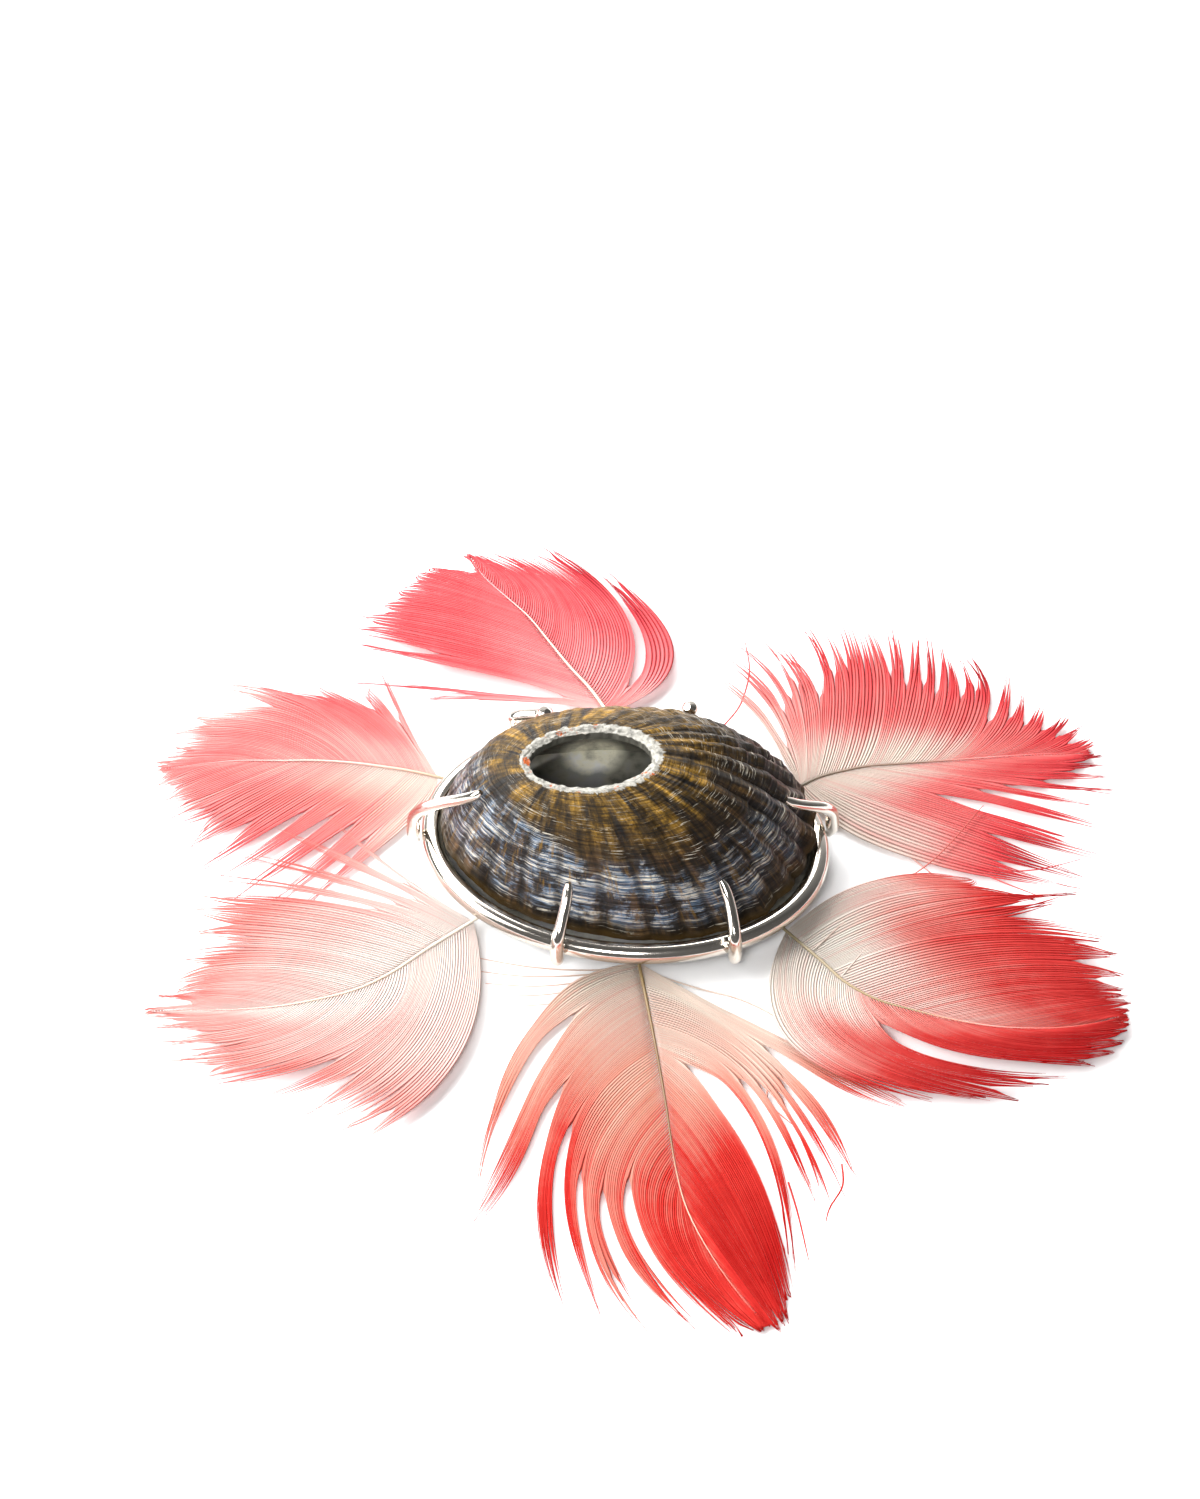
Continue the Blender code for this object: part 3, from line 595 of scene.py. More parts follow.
def seat_foot(angle, wall):
    """The inner edge of the margin; where the wire lifts the margin it drops inside the wire."""
    x, y, share = from_ring(oval(MARGIN, angle, wall), SEAT_INSET)
    closer = np.minimum(1.0, 1.0 / share)
    return (RING[0][0] + x * closer, RING[0][1] + y * closer,
            MARGIN_Z - SEAT_DROP * smooth_step((share - 0.95) * 20.0))


def flank(angle, share, wall_top=0.0, wall_foot=0.0, top=HOLE_Z):
    """The surface of the shell without its ribs, share 0 at the hole and 1 at the margin."""
    top_x, top_y = oval(HOLE, angle, wall_top)
    bulge = FRONT_BULGE * np.maximum(0.0, -np.sin(angle))
    foot_x, foot_y = oval(MARGIN, angle, wall_foot - bulge)
    low = margin_height(angle)
    if wall_foot:
        foot_x, foot_y, low = seat_foot(angle, wall_foot)
    z = low + (top - low) * (1.0 - flank_drop(angle, share))
    return np.stack([top_x + (foot_x - top_x) * share, top_y + (foot_y - top_y) * share, z],
                    axis=-1)


def flank_normal(angle, share):
    step = 0.01
    along = flank(angle + step, share) - flank(angle - step, share)
    down = flank(angle, share + step) - flank(angle, share - step)
    normal = np.cross(down, along)
    return normal / np.linalg.norm(normal, axis=-1, keepdims=True)


def grain(turns, along, cells, rows, seed):
    """Smooth noise from -1 to 1 that closes on itself round the shell."""
    table = np.random.RandomState(seed).uniform(-1.0, 1.0, (cells, rows + 2))
    u, v = (turns % 1.0) * cells, np.clip(along, 0.0, 1.0) * rows
    i, j = np.floor(u).astype(int) % cells, np.floor(v).astype(int)
    f, g = smooth_step(u - np.floor(u)), smooth_step(v - np.floor(v))
    near = table[i, j] * (1 - g) + table[i, j + 1] * g
    far = table[(i + 1) % cells, j] * (1 - g) + table[(i + 1) % cells, j + 1] * g
    return near * (1 - f) + far * f


GROWTH_STEPS = ((0.20, 0.5), (0.34, 0.9), (0.47, 0.5), (0.60, 1.0), (0.71, 0.7), (0.82, 1.0),
                (0.91, 0.8))


def shell_relief(place, angle, share, settings):
    """Height of ribs, riblets, growth steps and growth lines over the bare flank, in mm."""
    turns = place / TAU
    rib_height = settings.rib_height / MM
    side = 0.34 + 1.3 * np.maximum(0.0, np.cos(angle - math.radians(25.0)))
    crest = np.abs(np.sin(0.5 * RIB_COUNT * place))
    uneven = 0.85 + 0.45 * grain(turns, share, RIB_COUNT, 3, 61)
    relief = rib_height * side * uneven * (crest - 0.55) * (0.12 + 0.88 * share)
    relief += 0.12 * np.sin(9.0 * share + 2.0 * np.sin(2.0 * angle)) * share
    relief += 0.07 * (np.abs(np.sin(1.5 * RIB_COUNT * place + 0.4)) - 0.6) * (0.3 + share)
    bowed = share - 0.004 * (crest - 0.5) + 0.007 * grain(turns, share, 34, 7, 5)
    step = settings.step_height / MM
    for k, (at, size) in enumerate(GROWTH_STEPS):
        patchy = 0.55 + 0.45 * grain(turns, share, 22, 3, 40 + k)
        rise = smooth_step((bowed - at + 0.09) / 0.09) * (1 - smooth_step((bowed - at) / 0.01))
        relief += step * size * side * patchy * rise
    line = settings.line_height / MM
    relief += line * grain(turns, bowed, 40, 66, 11) * (0.25 + share)
    relief += 0.5 * line * grain(turns, bowed, 90, 120, 12) * (0.25 + share)
    right = np.maximum(0.0, np.cos(angle - math.radians(5.0)))
    relief += 0.34 * right * share * grain(turns, bowed, 46, 11, 21)
    relief += 0.10 * share * grain(turns, share, 60, 14, 22)
    return relief, crest, bowed


# How the colours run round the shell: angle, reach of the gold, start and strength of blue; the
# blue is partly painted sheen, strongest on the front and left flanks
BANDS = ((0, 0.30, 0.60, 0.16), (30, 0.50, 0.80, 0.08), (60, 0.70, 1.0, 0.0),
         (90, 0.85, 1.0, 0.0), (120, 0.80, 1.0, 0.0), (150, 0.55, 0.55, 0.25),
         (180, 0.40, 0.40, 0.6), (210, 0.34, 0.36, 0.95), (240, 0.45, 0.50, 1.0),
         (270, 0.52, 0.60, 1.0), (300, 0.46, 0.60, 0.65), (330, 0.36, 0.62, 0.4),
         (360, 0.30, 0.60, 0.16))


def shell_rows(settings):
    """Points of the closed wall, from the margin up the outside and down the hollow."""
    place = np.arange(COLUMNS)[:, None] * TAU / COLUMNS
    turns = place / TAU
    rows = {"co": [], "share": [], "crest": [], "rim": [], "inside": []}

    def add(points, share, crest, on_rim, inside):
        shape = points.shape[:2]
        for key, value in zip(rows, (points, share, crest, on_rim, inside)):
            rows[key].append(value if key == "co" else np.broadcast_to(value, shape))

    angle = place + 0.035 * np.sin(3.0 * place + 0.5) + 0.02 * np.sin(7.0 * place)
    share = 1.0 - np.arange(OUTER_ROWS)[None, :] / (OUTER_ROWS - 1.0)
    relief, crest, bowed = shell_relief(place, angle, share, settings)
    outside = flank(angle, share) + flank_normal(angle, share) * relief[..., None]
    add(outside, bowed, crest, 0.0, 0.0)

    width = settings.rim_width / MM
    step = (np.arange(RIM_ROWS)[None, :] + 1.0) / RIM_ROWS
    chips = 0.10 * grain(turns, step, 70, 6, 31) + 0.06 * grain(turns, step, 150, 9, 32)
    ragged = 0.10 * grain(turns, step, 110, 2, 35) + 0.07 * grain(turns, step, 47, 2, 36)
    edge_x, edge_y = oval(HOLE, place, width + ragged)
    lip = np.stack(np.broadcast_arrays(edge_x, edge_y, HOLE_Z - 0.25), axis=-1)
    top = outside[:, -1:, :]
    ground = top + (lip - top) * step[..., None]
    ground[..., 2] += chips * np.sin(math.pi * np.minimum(step, 1.0)) - 0.06 * step
    edge = (step > 0.95).astype(float)
    add(ground, -0.05 * step, 0.5, 1.0 - edge, edge)

    down = np.arange(INNER_ROWS - 1)[None, :] / (INNER_ROWS - 2.0)
    inside = flank(place, down, width, WALL_AT_MARGIN, HOLE_Z - WALL_AT_HOLE)
    inside[..., 2] += 0.08 * grain(turns, down, 20, 12, 33)
    seat = inside[:, -1:, :].copy()
    seat[..., 2] = margin_height(place) - 0.1
    add(np.concatenate([inside, seat], axis=1), np.append(down, 1.0)[None, :], 0.5, 0.0, 1.0)
    return place, {key: np.concatenate(value, axis=1) for key, value in rows.items()}


def torus_places(mesh, rows):
    """Which column round and which row across each vertex of a plain torus has."""
    co = np.empty(len(mesh.vertices) * 3, np.float32)
    mesh.vertices.foreach_get("co", co)
    x, y, z = co.reshape(-1, 3).astype(float).T / MM
    around, across = np.arctan2(y, x), np.arctan2(z, np.hypot(x, y) - TORUS_RADIUS)
    return (np.rint(around / TAU * COLUMNS).astype(int) % COLUMNS,
            np.rint(across / TAU * rows).astype(int) % rows)


def band_masks(place, share, crest):
    """How golden and how blue each point of the outside is."""
    turn = np.degrees(place) % 360.0
    angles, gold_reach, blue_start, blue_strength = (np.array(v) for v in zip(*BANDS))
    reach, start, strength = (np.interp(turn, angles, v)
                              for v in (gold_reach, blue_start, blue_strength))
    turns = place / TAU
    wander = 0.08 * grain(turns, share, 30, 5, 51)
    gold = 1.0 - smooth_step((share + wander - reach * 0.7) / (reach * 0.6))
    blue = smooth_step((share + wander - start) / 0.12)
    blue = blue * (1.0 - smooth_step((share - 0.9) / 0.06)) * strength
    blue = blue * (0.5 + 0.5 * smooth_step((crest - 0.2) / 0.4))
    return gold, blue


class LIMPET_OT_shell(bpy.types.Operator):
    """Model the ground limpet shell with its ribs, growth lines and hollow"""
    bl_idname = "limpet.shell"
    bl_label = "Make the shell"

    def execute(self, context):
        settings = context.scene.limpet_shell
        count = OUTER_ROWS + RIM_ROWS + INNER_ROWS
        start_piece()
        bpy.ops.mesh.primitive_torus_add(major_segments=COLUMNS // 2, generate_uvs=False,
                                         minor_segments=count // 2,
                                         major_radius=TORUS_RADIUS * MM,
                                         minor_radius=TORUS_TUBE * MM)
        shell = context.object
        bpy.ops.object.mode_set(mode="EDIT")
        bpy.ops.mesh.select_all(action="SELECT")
        bpy.ops.mesh.subdivide(number_cuts=1)
        bpy.ops.object.mode_set(mode="OBJECT")
        mesh = shell.data
        column, row = torus_places(mesh, count)
        place, rows = shell_rows(settings)
        share, crest = rows["share"], rows["crest"]
        gold, blue = band_masks(place, share, crest)
        turned = np.broadcast_to(place, share.shape)
        growth = np.stack([np.cos(turned), np.sin(turned), share], axis=-1)
        places = (rows["co"] * MM).astype(np.float32)[column, row]
        mesh.vertices.foreach_set("co", places.ravel())
        for name, values in (("growth", growth), ("gold", gold), ("blue", blue),
                             ("crest", crest), ("rim", rows["rim"]),
                             ("inside", rows["inside"])):
            set_attribute(mesh, name, np.asarray(values)[column, row])
        mesh.update()
        mesh.materials.append(shell_material(settings))
        finish_piece(shell, "shell", ["limpet_shell"], smooth=60.0)
        return {"FINISHED"}


def shell_material(settings):
    material, tree, shader = new_material("limpet_shell")
    growth = attribute(tree, "growth", "Vector")
    share = node(tree, "SeparateXYZ", {0: growth}).outputs["Z"]
    crest, gold, blue = (attribute(tree, name) for name in ("crest", "gold", "blue"))
    radial = stretched_noise(tree, growth, (10.0, 10.0, 1.6), 5.0, 0.62)
    threads = stretched_noise(tree, growth, (30.0, 30.0, 6.0), 4.0, 0.65)
    lines = stretched_noise(tree, growth, (2.6, 2.6, 78.0), 5.0, 0.75)
    scratches = stretched_noise(tree, growth, (4.0, 4.0, 120.0), 3.0, 0.6)
    object_place = node(tree, "TexCoord").outputs["Object"]
    blotches = node(tree, "TexNoise", {"Vector": object_place, "Scale": 330.0, "Detail": 6.0,
                                       "Roughness": 0.7}).outputs["Fac"]
    specks = node(tree, "TexNoise", {"Vector": object_place, "Scale": 2200.0,
                                     "Detail": 3.0}).outputs["Fac"]

    dark, brown, golden, blue_grey, chalk = (tuple(c) for c in (
        settings.dark, settings.brown, settings.gold, settings.blue, settings.chalk))
    rust = tuple(0.5 * a + 0.5 * b for a, b in zip(dark, golden))
    body = ramp(tree, radial, (0.40, shade(dark, 0.7)), (0.52, dark), (0.60, brown),
                (0.70, shade(brown, 1.5)))
    warm = ramp(tree, radial, (0.40, dark), (0.49, rust), (0.57, golden),
                (0.67, shade(golden, 2.0)))
    warm = multiplied(tree, warm, ramp(tree, blotches, (0.42, 0.22), (0.53, 1.0)))
    colour = mix(tree, gold, body, warm)
    rusty = times(tree, ramp(tree, threads, (0.45, 0.0), (0.7, 1.0)), 0.3)
    colour = mix(tree, rusty, colour, rust)
    colour = multiplied(tree, colour, ramp(tree, lines, (0.38, 0.30), (0.50, 0.9), (0.64, 1.6)))

    # Nacre, laid open by wear in streaks towards the margin, with warm threads and chalky
    # scratches; its blue grey is partly painted sheen, and the pale tops of its growth lines are
    # painted glints
    nacre = ramp(tree, lines, (0.41, dark), (0.47, shade(blue_grey, 0.45)), (0.53, blue_grey),
                 (0.61, chalk))
    nacre = multiplied(tree, nacre, ramp(tree, scratches, (0.36, 0.5), (0.56, 1.2)))
    bare_and_sheen = times(tree, blue, ramp(tree, blotches, (0.44, 0.1), (0.54, 1.0)))
    colour = mix(tree, bare_and_sheen, colour, nacre)
    warm_streaks = times(tree, ramp(tree, threads, (0.56, 0.0), (0.66, 1.0)), blue)
    colour = mix(tree, times(tree, warm_streaks, 0.7), colour, golden)
    worn = times(tree, ramp(tree, scratches, (0.58, 0.0), (0.64, 1.0)),
                 ramp(tree, share, (0.12, 0.5), (0.5, 1.0)))
    pale = times(tree, worn, ramp(tree, blotches, (0.47, 0.0), (0.57, 0.75)))
    colour = mix(tree, pale, colour, chalk)
    deeper = multiplied(tree, colour, ramp(tree, crest, (0.05, 0.4), (0.42, 1.0)))
    colour = mix(tree, ramp(tree, share, (0.25, 0.0), (0.7, 0.85)), colour, deeper)
    lip = ramp(tree, share, (0.965, 0.0), (0.985, 1.0))
    colour = mix(tree, lip, colour, mix(tree, radial, shade(golden, 0.35), shade(dark, 0.7)))

    # The ground rim, with chips that reach down the outside, and the hollow
    ground = tuple(0.75 * a + 0.25 * b for a, b in zip(chalk, blue_grey))
    crystals = ramp(tree, specks, (0.36, shade(ground, 0.35)), (0.46, shade(ground, 0.55)),
                    (0.62, shade(ground, 0.8)))
    stained = ramp(tree, blotches, (0.57, 0.0), (0.60, 1.0))
    crystals = mix(tree, stained, crystals, tuple(settings.stain))
    chipped = maths(tree, "ADD", share, times(tree, radial, 0.12))
    chipped = maths(tree, "ADD", chipped, times(tree, blotches, 0.08))
    chipped = ramp(tree, chipped, (0.122, 1.0), (0.132, 0.0))
    colour = mix(tree, maths(tree, "MAXIMUM", attribute(tree, "rim"), chipped), colour, crystals)
    hollow = tuple(settings.hollow)
    lining = ramp(tree, blotches, (0.35, shade(hollow, 0.45)), (0.62, hollow))
    # Painted light and shade: the lining is pale where light through the hole falls on it and
    # dark further in
    lining = multiplied(tree, lining, painted_hole_light(tree, blotches))
    colour = mix(tree, attribute(tree, "inside"), colour, lining)
    tree.links.new(colour, shader.inputs["Base Color"])

    polish = ramp(tree, specks, (0.3, 0.36), (0.7, 0.6))
    tree.links.new(polish, shader.inputs["Roughness"])
    shader.inputs["Specular IOR Level"].default_value = 0.22
    tree.links.new(times(tree, bare_and_sheen, 0.6), shader.inputs["Coat Weight"])
    shader.inputs["Coat Roughness"].default_value = 0.22
    height = maths(tree, "ADD", times(tree, lines, 0.6), times(tree, scratches, 0.4))
    height = maths(tree, "ADD", height, times(tree, specks, 0.25))
    bump(tree, shader, height, 0.00009, 0.8)
    return material


# Setting

def ring_outward(angle):
    """The ring's centreline point in plan and the level direction out of the ring."""
    a = math.radians(angle) - RING[3]
    point = Vector((*oval(RING, a), 0.0))
    ahead = Vector((*oval(RING, a + 0.01), 0.0))
    tangent = (ahead - point).normalized()
    return point, Vector((tangent.y, -tangent.x, 0.0))


def bezier(a, b, c, d, t):
    s = 1.0 - t
    return a * s ** 3 + b * (3 * s * s * t) + c * (3 * s * t * t) + d * t ** 3


def claw_path(foot_angle, tip_angle, tip_share):
    """Up the outside of the ring, then over it and along the shell's flank."""
    foot, out = ring_outward(foot_angle)
    clear = WIRE_RADIUS + CLAW_RADIUS + CLAW_GAP
    low = foot + out * (clear - 0.5) + Vector((0.0, 0.0, RING_Z - clear * 0.62))
    side = foot + out * clear + Vector((0.0, 0.0, RING_Z + 0.2))
    above = foot + out * (clear - 0.1) + Vector((0.0, 0.0, RING_Z + 2.1))
    place = np.array(math.radians(tip_angle))
    normal = Vector(flank_normal(place, np.array(tip_share)))
    surface = Vector(flank(place, np.array(tip_share)))
    higher = Vector(flank(place, np.array(tip_share - 0.05)))
    tip = surface + normal * (CLAW_RADIUS + CLAW_GAP + TIP_LIFT)
    before = tip - (higher - surface).normalized() * TIP_RUN
    path = [low, low.lerp(side, 0.5) + out * 0.25, side]
    lift = Vector((0.0, 0.0, 0.28 * (tip - above).length))
    path += [bezier(above, above + lift, before, tip, i / 13) for i in range(14)]
    return path


def wire_from_path(name, path, radii, radius, closed=False):
    """A round wire along a path: a path curve, bent to its points, bevelled and meshed."""
    start_piece()
    bpy.ops.curve.primitive_nurbs_path_add(radius=MM)
    curve = bpy.context.object
    curve.data.splines.clear()
    spline = curve.data.splines.new("NURBS")
    spline.points.add(len(path) - 1)
    for point, place, size in zip(spline.points, path, radii):
        point.co = (*(place * MM), 1.0)
        point.radius = size
    spline.order_u = 3
    spline.use_endpoint_u = not closed
    spline.use_cyclic_u = closed
    spline.resolution_u = 4
    curve.data.bevel_depth = radius
    curve.data.bevel_resolution = 8
    curve.data.use_fill_caps = not closed
    curve.name = name
    bpy.ops.object.convert(target="MESH")
    wire = bpy.context.object
    bpy.ops.object.mode_set(mode="EDIT")
    bpy.ops.mesh.select_all(action="SELECT")
    bpy.ops.mesh.remove_doubles(threshold=0.000002)
    bpy.ops.mesh.normals_make_consistent(inside=False)
    bpy.ops.object.mode_set(mode="OBJECT")
    return wire


class LIMPET_OT_setting(bpy.types.Operator):
    """Model the oval wire ring and the six claws, and finish the plate under the hollow"""
    bl_idname = "limpet.setting"
    bl_label = "Make the setting"

    def execute(self, context):
        settings = context.scene.limpet_setting
        silver = silver_material(settings)
        path = [Vector((*oval(RING, TAU * i / 96), RING_Z)) for i in range(96)]
        ring = wire_from_path("ring", path, [1.0] * len(path), settings.wire, closed=True)
        ring.data.materials.append(silver)
        finish_piece(ring, "ring", ["setting_ring"])
        for name, (foot_angle, tip_angle, share, ball) in CLAWS.items():
            path = claw_path(foot_angle, tip_angle, share)
            radii = BALL_CLAW if ball else PLAIN_CLAW
            claw = wire_from_path("claw", path, radii, settings.claw)
            claw.data.materials.append(silver)
            finish_piece(claw, f"{name}_claw", [f"claw_{name}"])
        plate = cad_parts["back_plate"]
        plate.data.materials.clear()
        plate.data.materials.append(plate_material(settings))
        return {"FINISHED"}


def silver_material(settings):
    material, tree, shader = new_material("polished_silver")
    marks = wear(tree, 700.0, 0.3, 0.13, 0.1)
    tone = mix(tree, marks["Mask"], shade(settings.silver, 0.86), tuple(settings.silver))
    dress(tree, shader, tone, marks)
    shader.inputs["Metallic"].default_value = 1.0
    bump(tree, shader, marks["Height"], 0.00001, 0.35)
    return material


def plate_material(settings):
    """Darkened silver, with a pool of light painted pale where it shows through the hole and
    shade painted dark further in.
    """
    material, tree, shader = new_material("darkened_silver")
    marks = wear(tree, 260.0, 1.0, 0.5, 0.3)
    tarnish = tuple(settings.tarnish)
    tone = ramp(tree, marks["Mask"], (0.35, shade(tarnish, 0.45)), (0.5, tarnish),
                (0.66, shade(tarnish, 1.6)))
    # Painted light and shade: pale round the spot seen through the hole, dark further in
    dress(tree, shader, multiplied(tree, tone, painted_hole_light(tree, marks["Mask"])), marks)
    bump(tree, shader, marks["Height"], 0.00003, 0.4)
    return material


class LIMPET_OT_backing(bpy.types.Operator):
    """Model the thin leather disc that holds the quills and rests on the table"""
    bl_idname = "limpet.backing"
    bl_label = "Make the backing"

    def execute(self, context):
        settings = context.scene.limpet_backing
        start_piece()
        bpy.ops.mesh.primitive_cylinder_add(vertices=128, radius=settings.half_length,
                                            depth=settings.thick,
                                            location=(0.0, 0.0, 0.5 * settings.thick))
        disc = context.object
        bpy.ops.object.mode_set(mode="EDIT")
        bpy.ops.transform.resize(value=(1.0, settings.half_width / settings.half_length, 1.0))
        bpy.ops.object.mode_set(mode="OBJECT")
        disc.rotation_euler.z = RING[3]
        bpy.ops.object.transform_apply(location=True, rotation=True, scale=True)
        apply_modifier(disc, "BEVEL", width=0.00012, segments=2, limit_method="ANGLE")
        disc.data.materials.append(leather_material(settings))
        finish_piece(disc, "leather_disc", ["backing_disc"], smooth=50.0)
        return {"FINISHED"}


def leather_material(settings):
    material, tree, shader = new_material("pale_leather")
    marks = wear(tree, 1400.0, 1.0, 0.75, 0.15)
    leather = tuple(settings.leather)
    dress(tree, shader, mix(tree, marks["Mask"], shade(leather, 0.8), leather), marks)
    bump(tree, shader, marks["Height"], 0.00005, 0.7)
    return material


# Feathers

def strand_pattern(sides, stations):
    """One strand, modelled once: a slim prism cut into stations along its length."""
    start_piece()
    bpy.ops.mesh.primitive_cylinder_add(vertices=sides, radius=1.0, depth=1.0)
    prism = bpy.context.object
    bpy.ops.object.mode_set(mode="EDIT")
    bpy.ops.mesh.select_mode(type="EDGE")
    bpy.ops.mesh.select_all(action="DESELECT")
    cage = bmesh.from_edit_mesh(prism.data)
    for edge in cage.edges:
        edge.select_set(abs(edge.verts[0].co.z - edge.verts[1].co.z) > 0.5)
    bmesh.update_edit_mesh(prism.data)
    bpy.ops.mesh.subdivide(number_cuts=stations - 2)
    bpy.ops.object.mode_set(mode="OBJECT")
    points = np.array([v.co for v in prism.data.vertices])
    faces = [list(p.vertices) for p in prism.data.polygons]
    bpy.data.objects.remove(prism, do_unlink=True)
    station = np.rint((points[:, 2] + 0.5) * (stations - 1)).astype(int)
    return station, points[:, 0], points[:, 1], faces


def lay_strands(pattern, line, across, half_width, height):
    """Copies of a strand laid along lines; arrays are strands by stations."""
    station, side, top, faces = pattern
    reach = side / np.abs(side).max()
    up = (top - top.min()) / (top.max() - top.min())
    points = (line[:, station] + across[:, station] * (reach * half_width[:, station])[..., None])
    points[..., 2] += up * height[:, station]
    count = len(line)
    offset = np.arange(count) * len(station)
    loops = np.concatenate([np.array(face)[None, :] + offset[:, None] for face in faces], axis=1)
    sizes = np.tile([len(face) for face in faces], count)
    return points.reshape(-1, 3), loops.ravel(), sizes, np.tile(reach, count), station


def through_points(points, t):
    """A smooth curve through evenly weighted points, t from 0 to 1; below 0 it runs back."""
    points = np.asarray(points, float)
    place = np.clip(t, 0.0, 1.0) * (len(points) - 1)
    i = np.minimum(place.astype(int), len(points) - 2)
    f = (place - i)[..., None]
    before, a = points[np.maximum(i - 1, 0)], points[i]
    b, after = points[i + 1], points[np.minimum(i + 2, len(points) - 1)]
    slope_a, slope_b = (b - before) * 0.5, (after - a) * 0.5
    curve = (a * (2 * f ** 3 - 3 * f * f + 1) + slope_a * (f ** 3 - 2 * f * f + f)
             + b * (3 * f * f - 2 * f ** 3) + slope_b * (f ** 3 - f * f))
    back = points[0] - points[1]
    back = back / np.linalg.norm(back) * 8.0
    return curve + back * np.maximum(-t, 0.0)[..., None]


def to_side(direction):
    """Unit vectors that lie level and across the given level directions."""
    size = np.linalg.norm(direction[..., :2], axis=-1, keepdims=True)
    unit = direction[..., :2] / np.maximum(size, 1e-9)
    return np.stack([-unit[..., 1], unit[..., 0], np.zeros(unit.shape[:-1])], axis=-1)


class Vane:
    """One side of a feather: what the locks say at any place along the shaft."""

    def __init__(self, shaft, locks):
        self.shaft = shaft
        rows = [dict(place=l[0] / 100, middle=l[1:3], tip=l[3:5], joined=l[5] / 100,
                     tone=[int(c) / 9 for c in l[6]], hook=l[7:9] or (0.0, 0.0))
                for l in locks]
        end = through_points(shaft, np.array([LAST_ROOT, 1.0]))
        rows.append(dict(rows[-1], place=1.0, middle=end[0], tip=end[1], hook=(0.0, 0.0)))
        self.centres = np.array([r["place"] for r in rows])
        first = dict(rows[0], place=0.0)
        for key, share in (("middle", 0.5), ("tip", 0.3)):
            a, b = np.array(rows[0][key]), np.array(rows[1][key])
            first[key] = a + (a - b) * share
        knots = [first]
        for a, b in zip(rows, rows[1:]):
            halfway = {key: (np.array(a[key]) + np.array(b[key])) * 0.5 for key in a}
            knots += [a, dict(halfway, joined=a["joined"])]
        knots.append(rows[-1])
        self.knots = {key: np.array([k[key] for k in knots], float) for key in knots[0]}
        self.edges = np.append(self.knots["place"][0::2], 1.0)
        self.joined = np.append(self.knots["joined"][0::2], rows[-1]["joined"])

    def at(self, key, place):
        """The value of a lock's measure at places along the shaft."""
        values = self.knots[key]
        if values.ndim == 1:
            return np.interp(place, self.knots["place"], values)
        return np.stack([np.interp(place, self.knots["place"], column)
                         for column in values.T], axis=-1)

    def path(self, roots, place, v):
        """Points at v along the barbs that start at roots and follow what holds at place."""
        root = through_points(self.shaft, roots)[:, None, :]
        middle, tip, hook = (self.at(key, place) for key in ("middle", "tip", "hook"))
        tip = tip - hook
        control = middle * 2.0 - (root + tip) * 0.5
        w = v[..., None]
        line = root * (1 - w) ** 2 + control * (2 * w * (1 - w)) + tip * w * w
        return line + hook * (np.maximum(w - 0.62, 0.0) / 0.38) ** 2

    def roots(self, spacing):
        """Where barbs start, closer together where the vane fans out."""
        fine = np.linspace(0.0, LAST_ROOT, 900)
        where = np.array([[0.0, 0.55, 0.9]]) * np.ones((900, 1))
        line = self.path(fine, fine[:, None] * np.ones((1, 3)), where)
        steps = np.linalg.norm(np.diff(line, axis=0), axis=-1)
        dense = np.clip(steps[:, 1:].mean(axis=1), steps[:, 0], 9.0 * steps[:, 0])
        run = np.concatenate([[0.0], np.cumsum(dense)])
        count = int(run[-1] / spacing)
        return np.interp((np.arange(count) + 0.5) / count * run[-1], run, fine)

    def lines(self, roots, rng):
        """The barbs' lines in plan, strands by stations, and how far along each is."""
        count = len(roots)
        lock = np.clip(np.searchsorted(self.edges, roots, side="right") - 1, 0,
                       len(self.edges) - 2)
        low, high = self.edges[lock], self.edges[lock + 1]
        centre = self.centres[lock]
        toward_low = roots < centre
        joined = np.where(toward_low, self.joined[lock], self.joined[lock + 1])
        spread = np.clip((roots - low) / (high - low), 0.0, 0.999)
        off_centre = np.abs(roots - centre) / np.maximum(
            np.where(toward_low, centre - low, high - centre), 1e-6)
        length = 1.02 - 0.05 * rng.random(count) - 0.05 * off_centre ** 2 * (joined < 0.8)
        length -= 0.08 * (rng.random(count) < 0.05)
        v = np.linspace(0.0, 1.0, BARB_STATIONS)[None, :] * length[:, None]

        # Barbs gather into strands, and the strands of a lock close up past its split
        strands = 3 + (lock % 3)
        strand = (np.floor(spread * strands) + 0.5) / strands
        gather = np.clip(0.7 - 0.75 * joined[:, None], 0.1, 0.65)
        gather = gather * smooth_step((v - 0.55 - 0.3 * joined[:, None]) / 0.5)
        loose = spread[:, None] + (strand - spread)[:, None] * gather
        place = low[:, None] + (high - low)[:, None] * loose
        start = joined[:, None]
        apart = np.clip(0.66 - 0.75 * start, 0.1, 0.7) * smooth_step((v - start) / 0.3)
        late = np.maximum(start, 0.6)
        narrow = np.clip((v - late) / (1.0 - late), 0, 1)
        keep = (1.0 - apart) * (1.0 - 0.85 * narrow ** 2.2)
        place = centre[:, None] + (place - centre[:, None]) * keep
        line = self.path(roots, place, v)
        sway = rng.normal(0.0, 1.0, (len(self.edges), 8, 2))[lock, np.floor(
            spread * strands).astype(int)]
        w = v[..., None]
        free = smooth_step(2.0 * off_centre) * (joined < 0.8)
        line = line + 0.4 * sway[:, None, :] * (np.maximum(w - 0.45, 0.0) / 0.55) ** 2 * (
            free[:, None, None])
        line = line + rng.normal(0.0, 0.09, (count, 1, 2)) * w ** 3
        return line, v, joined


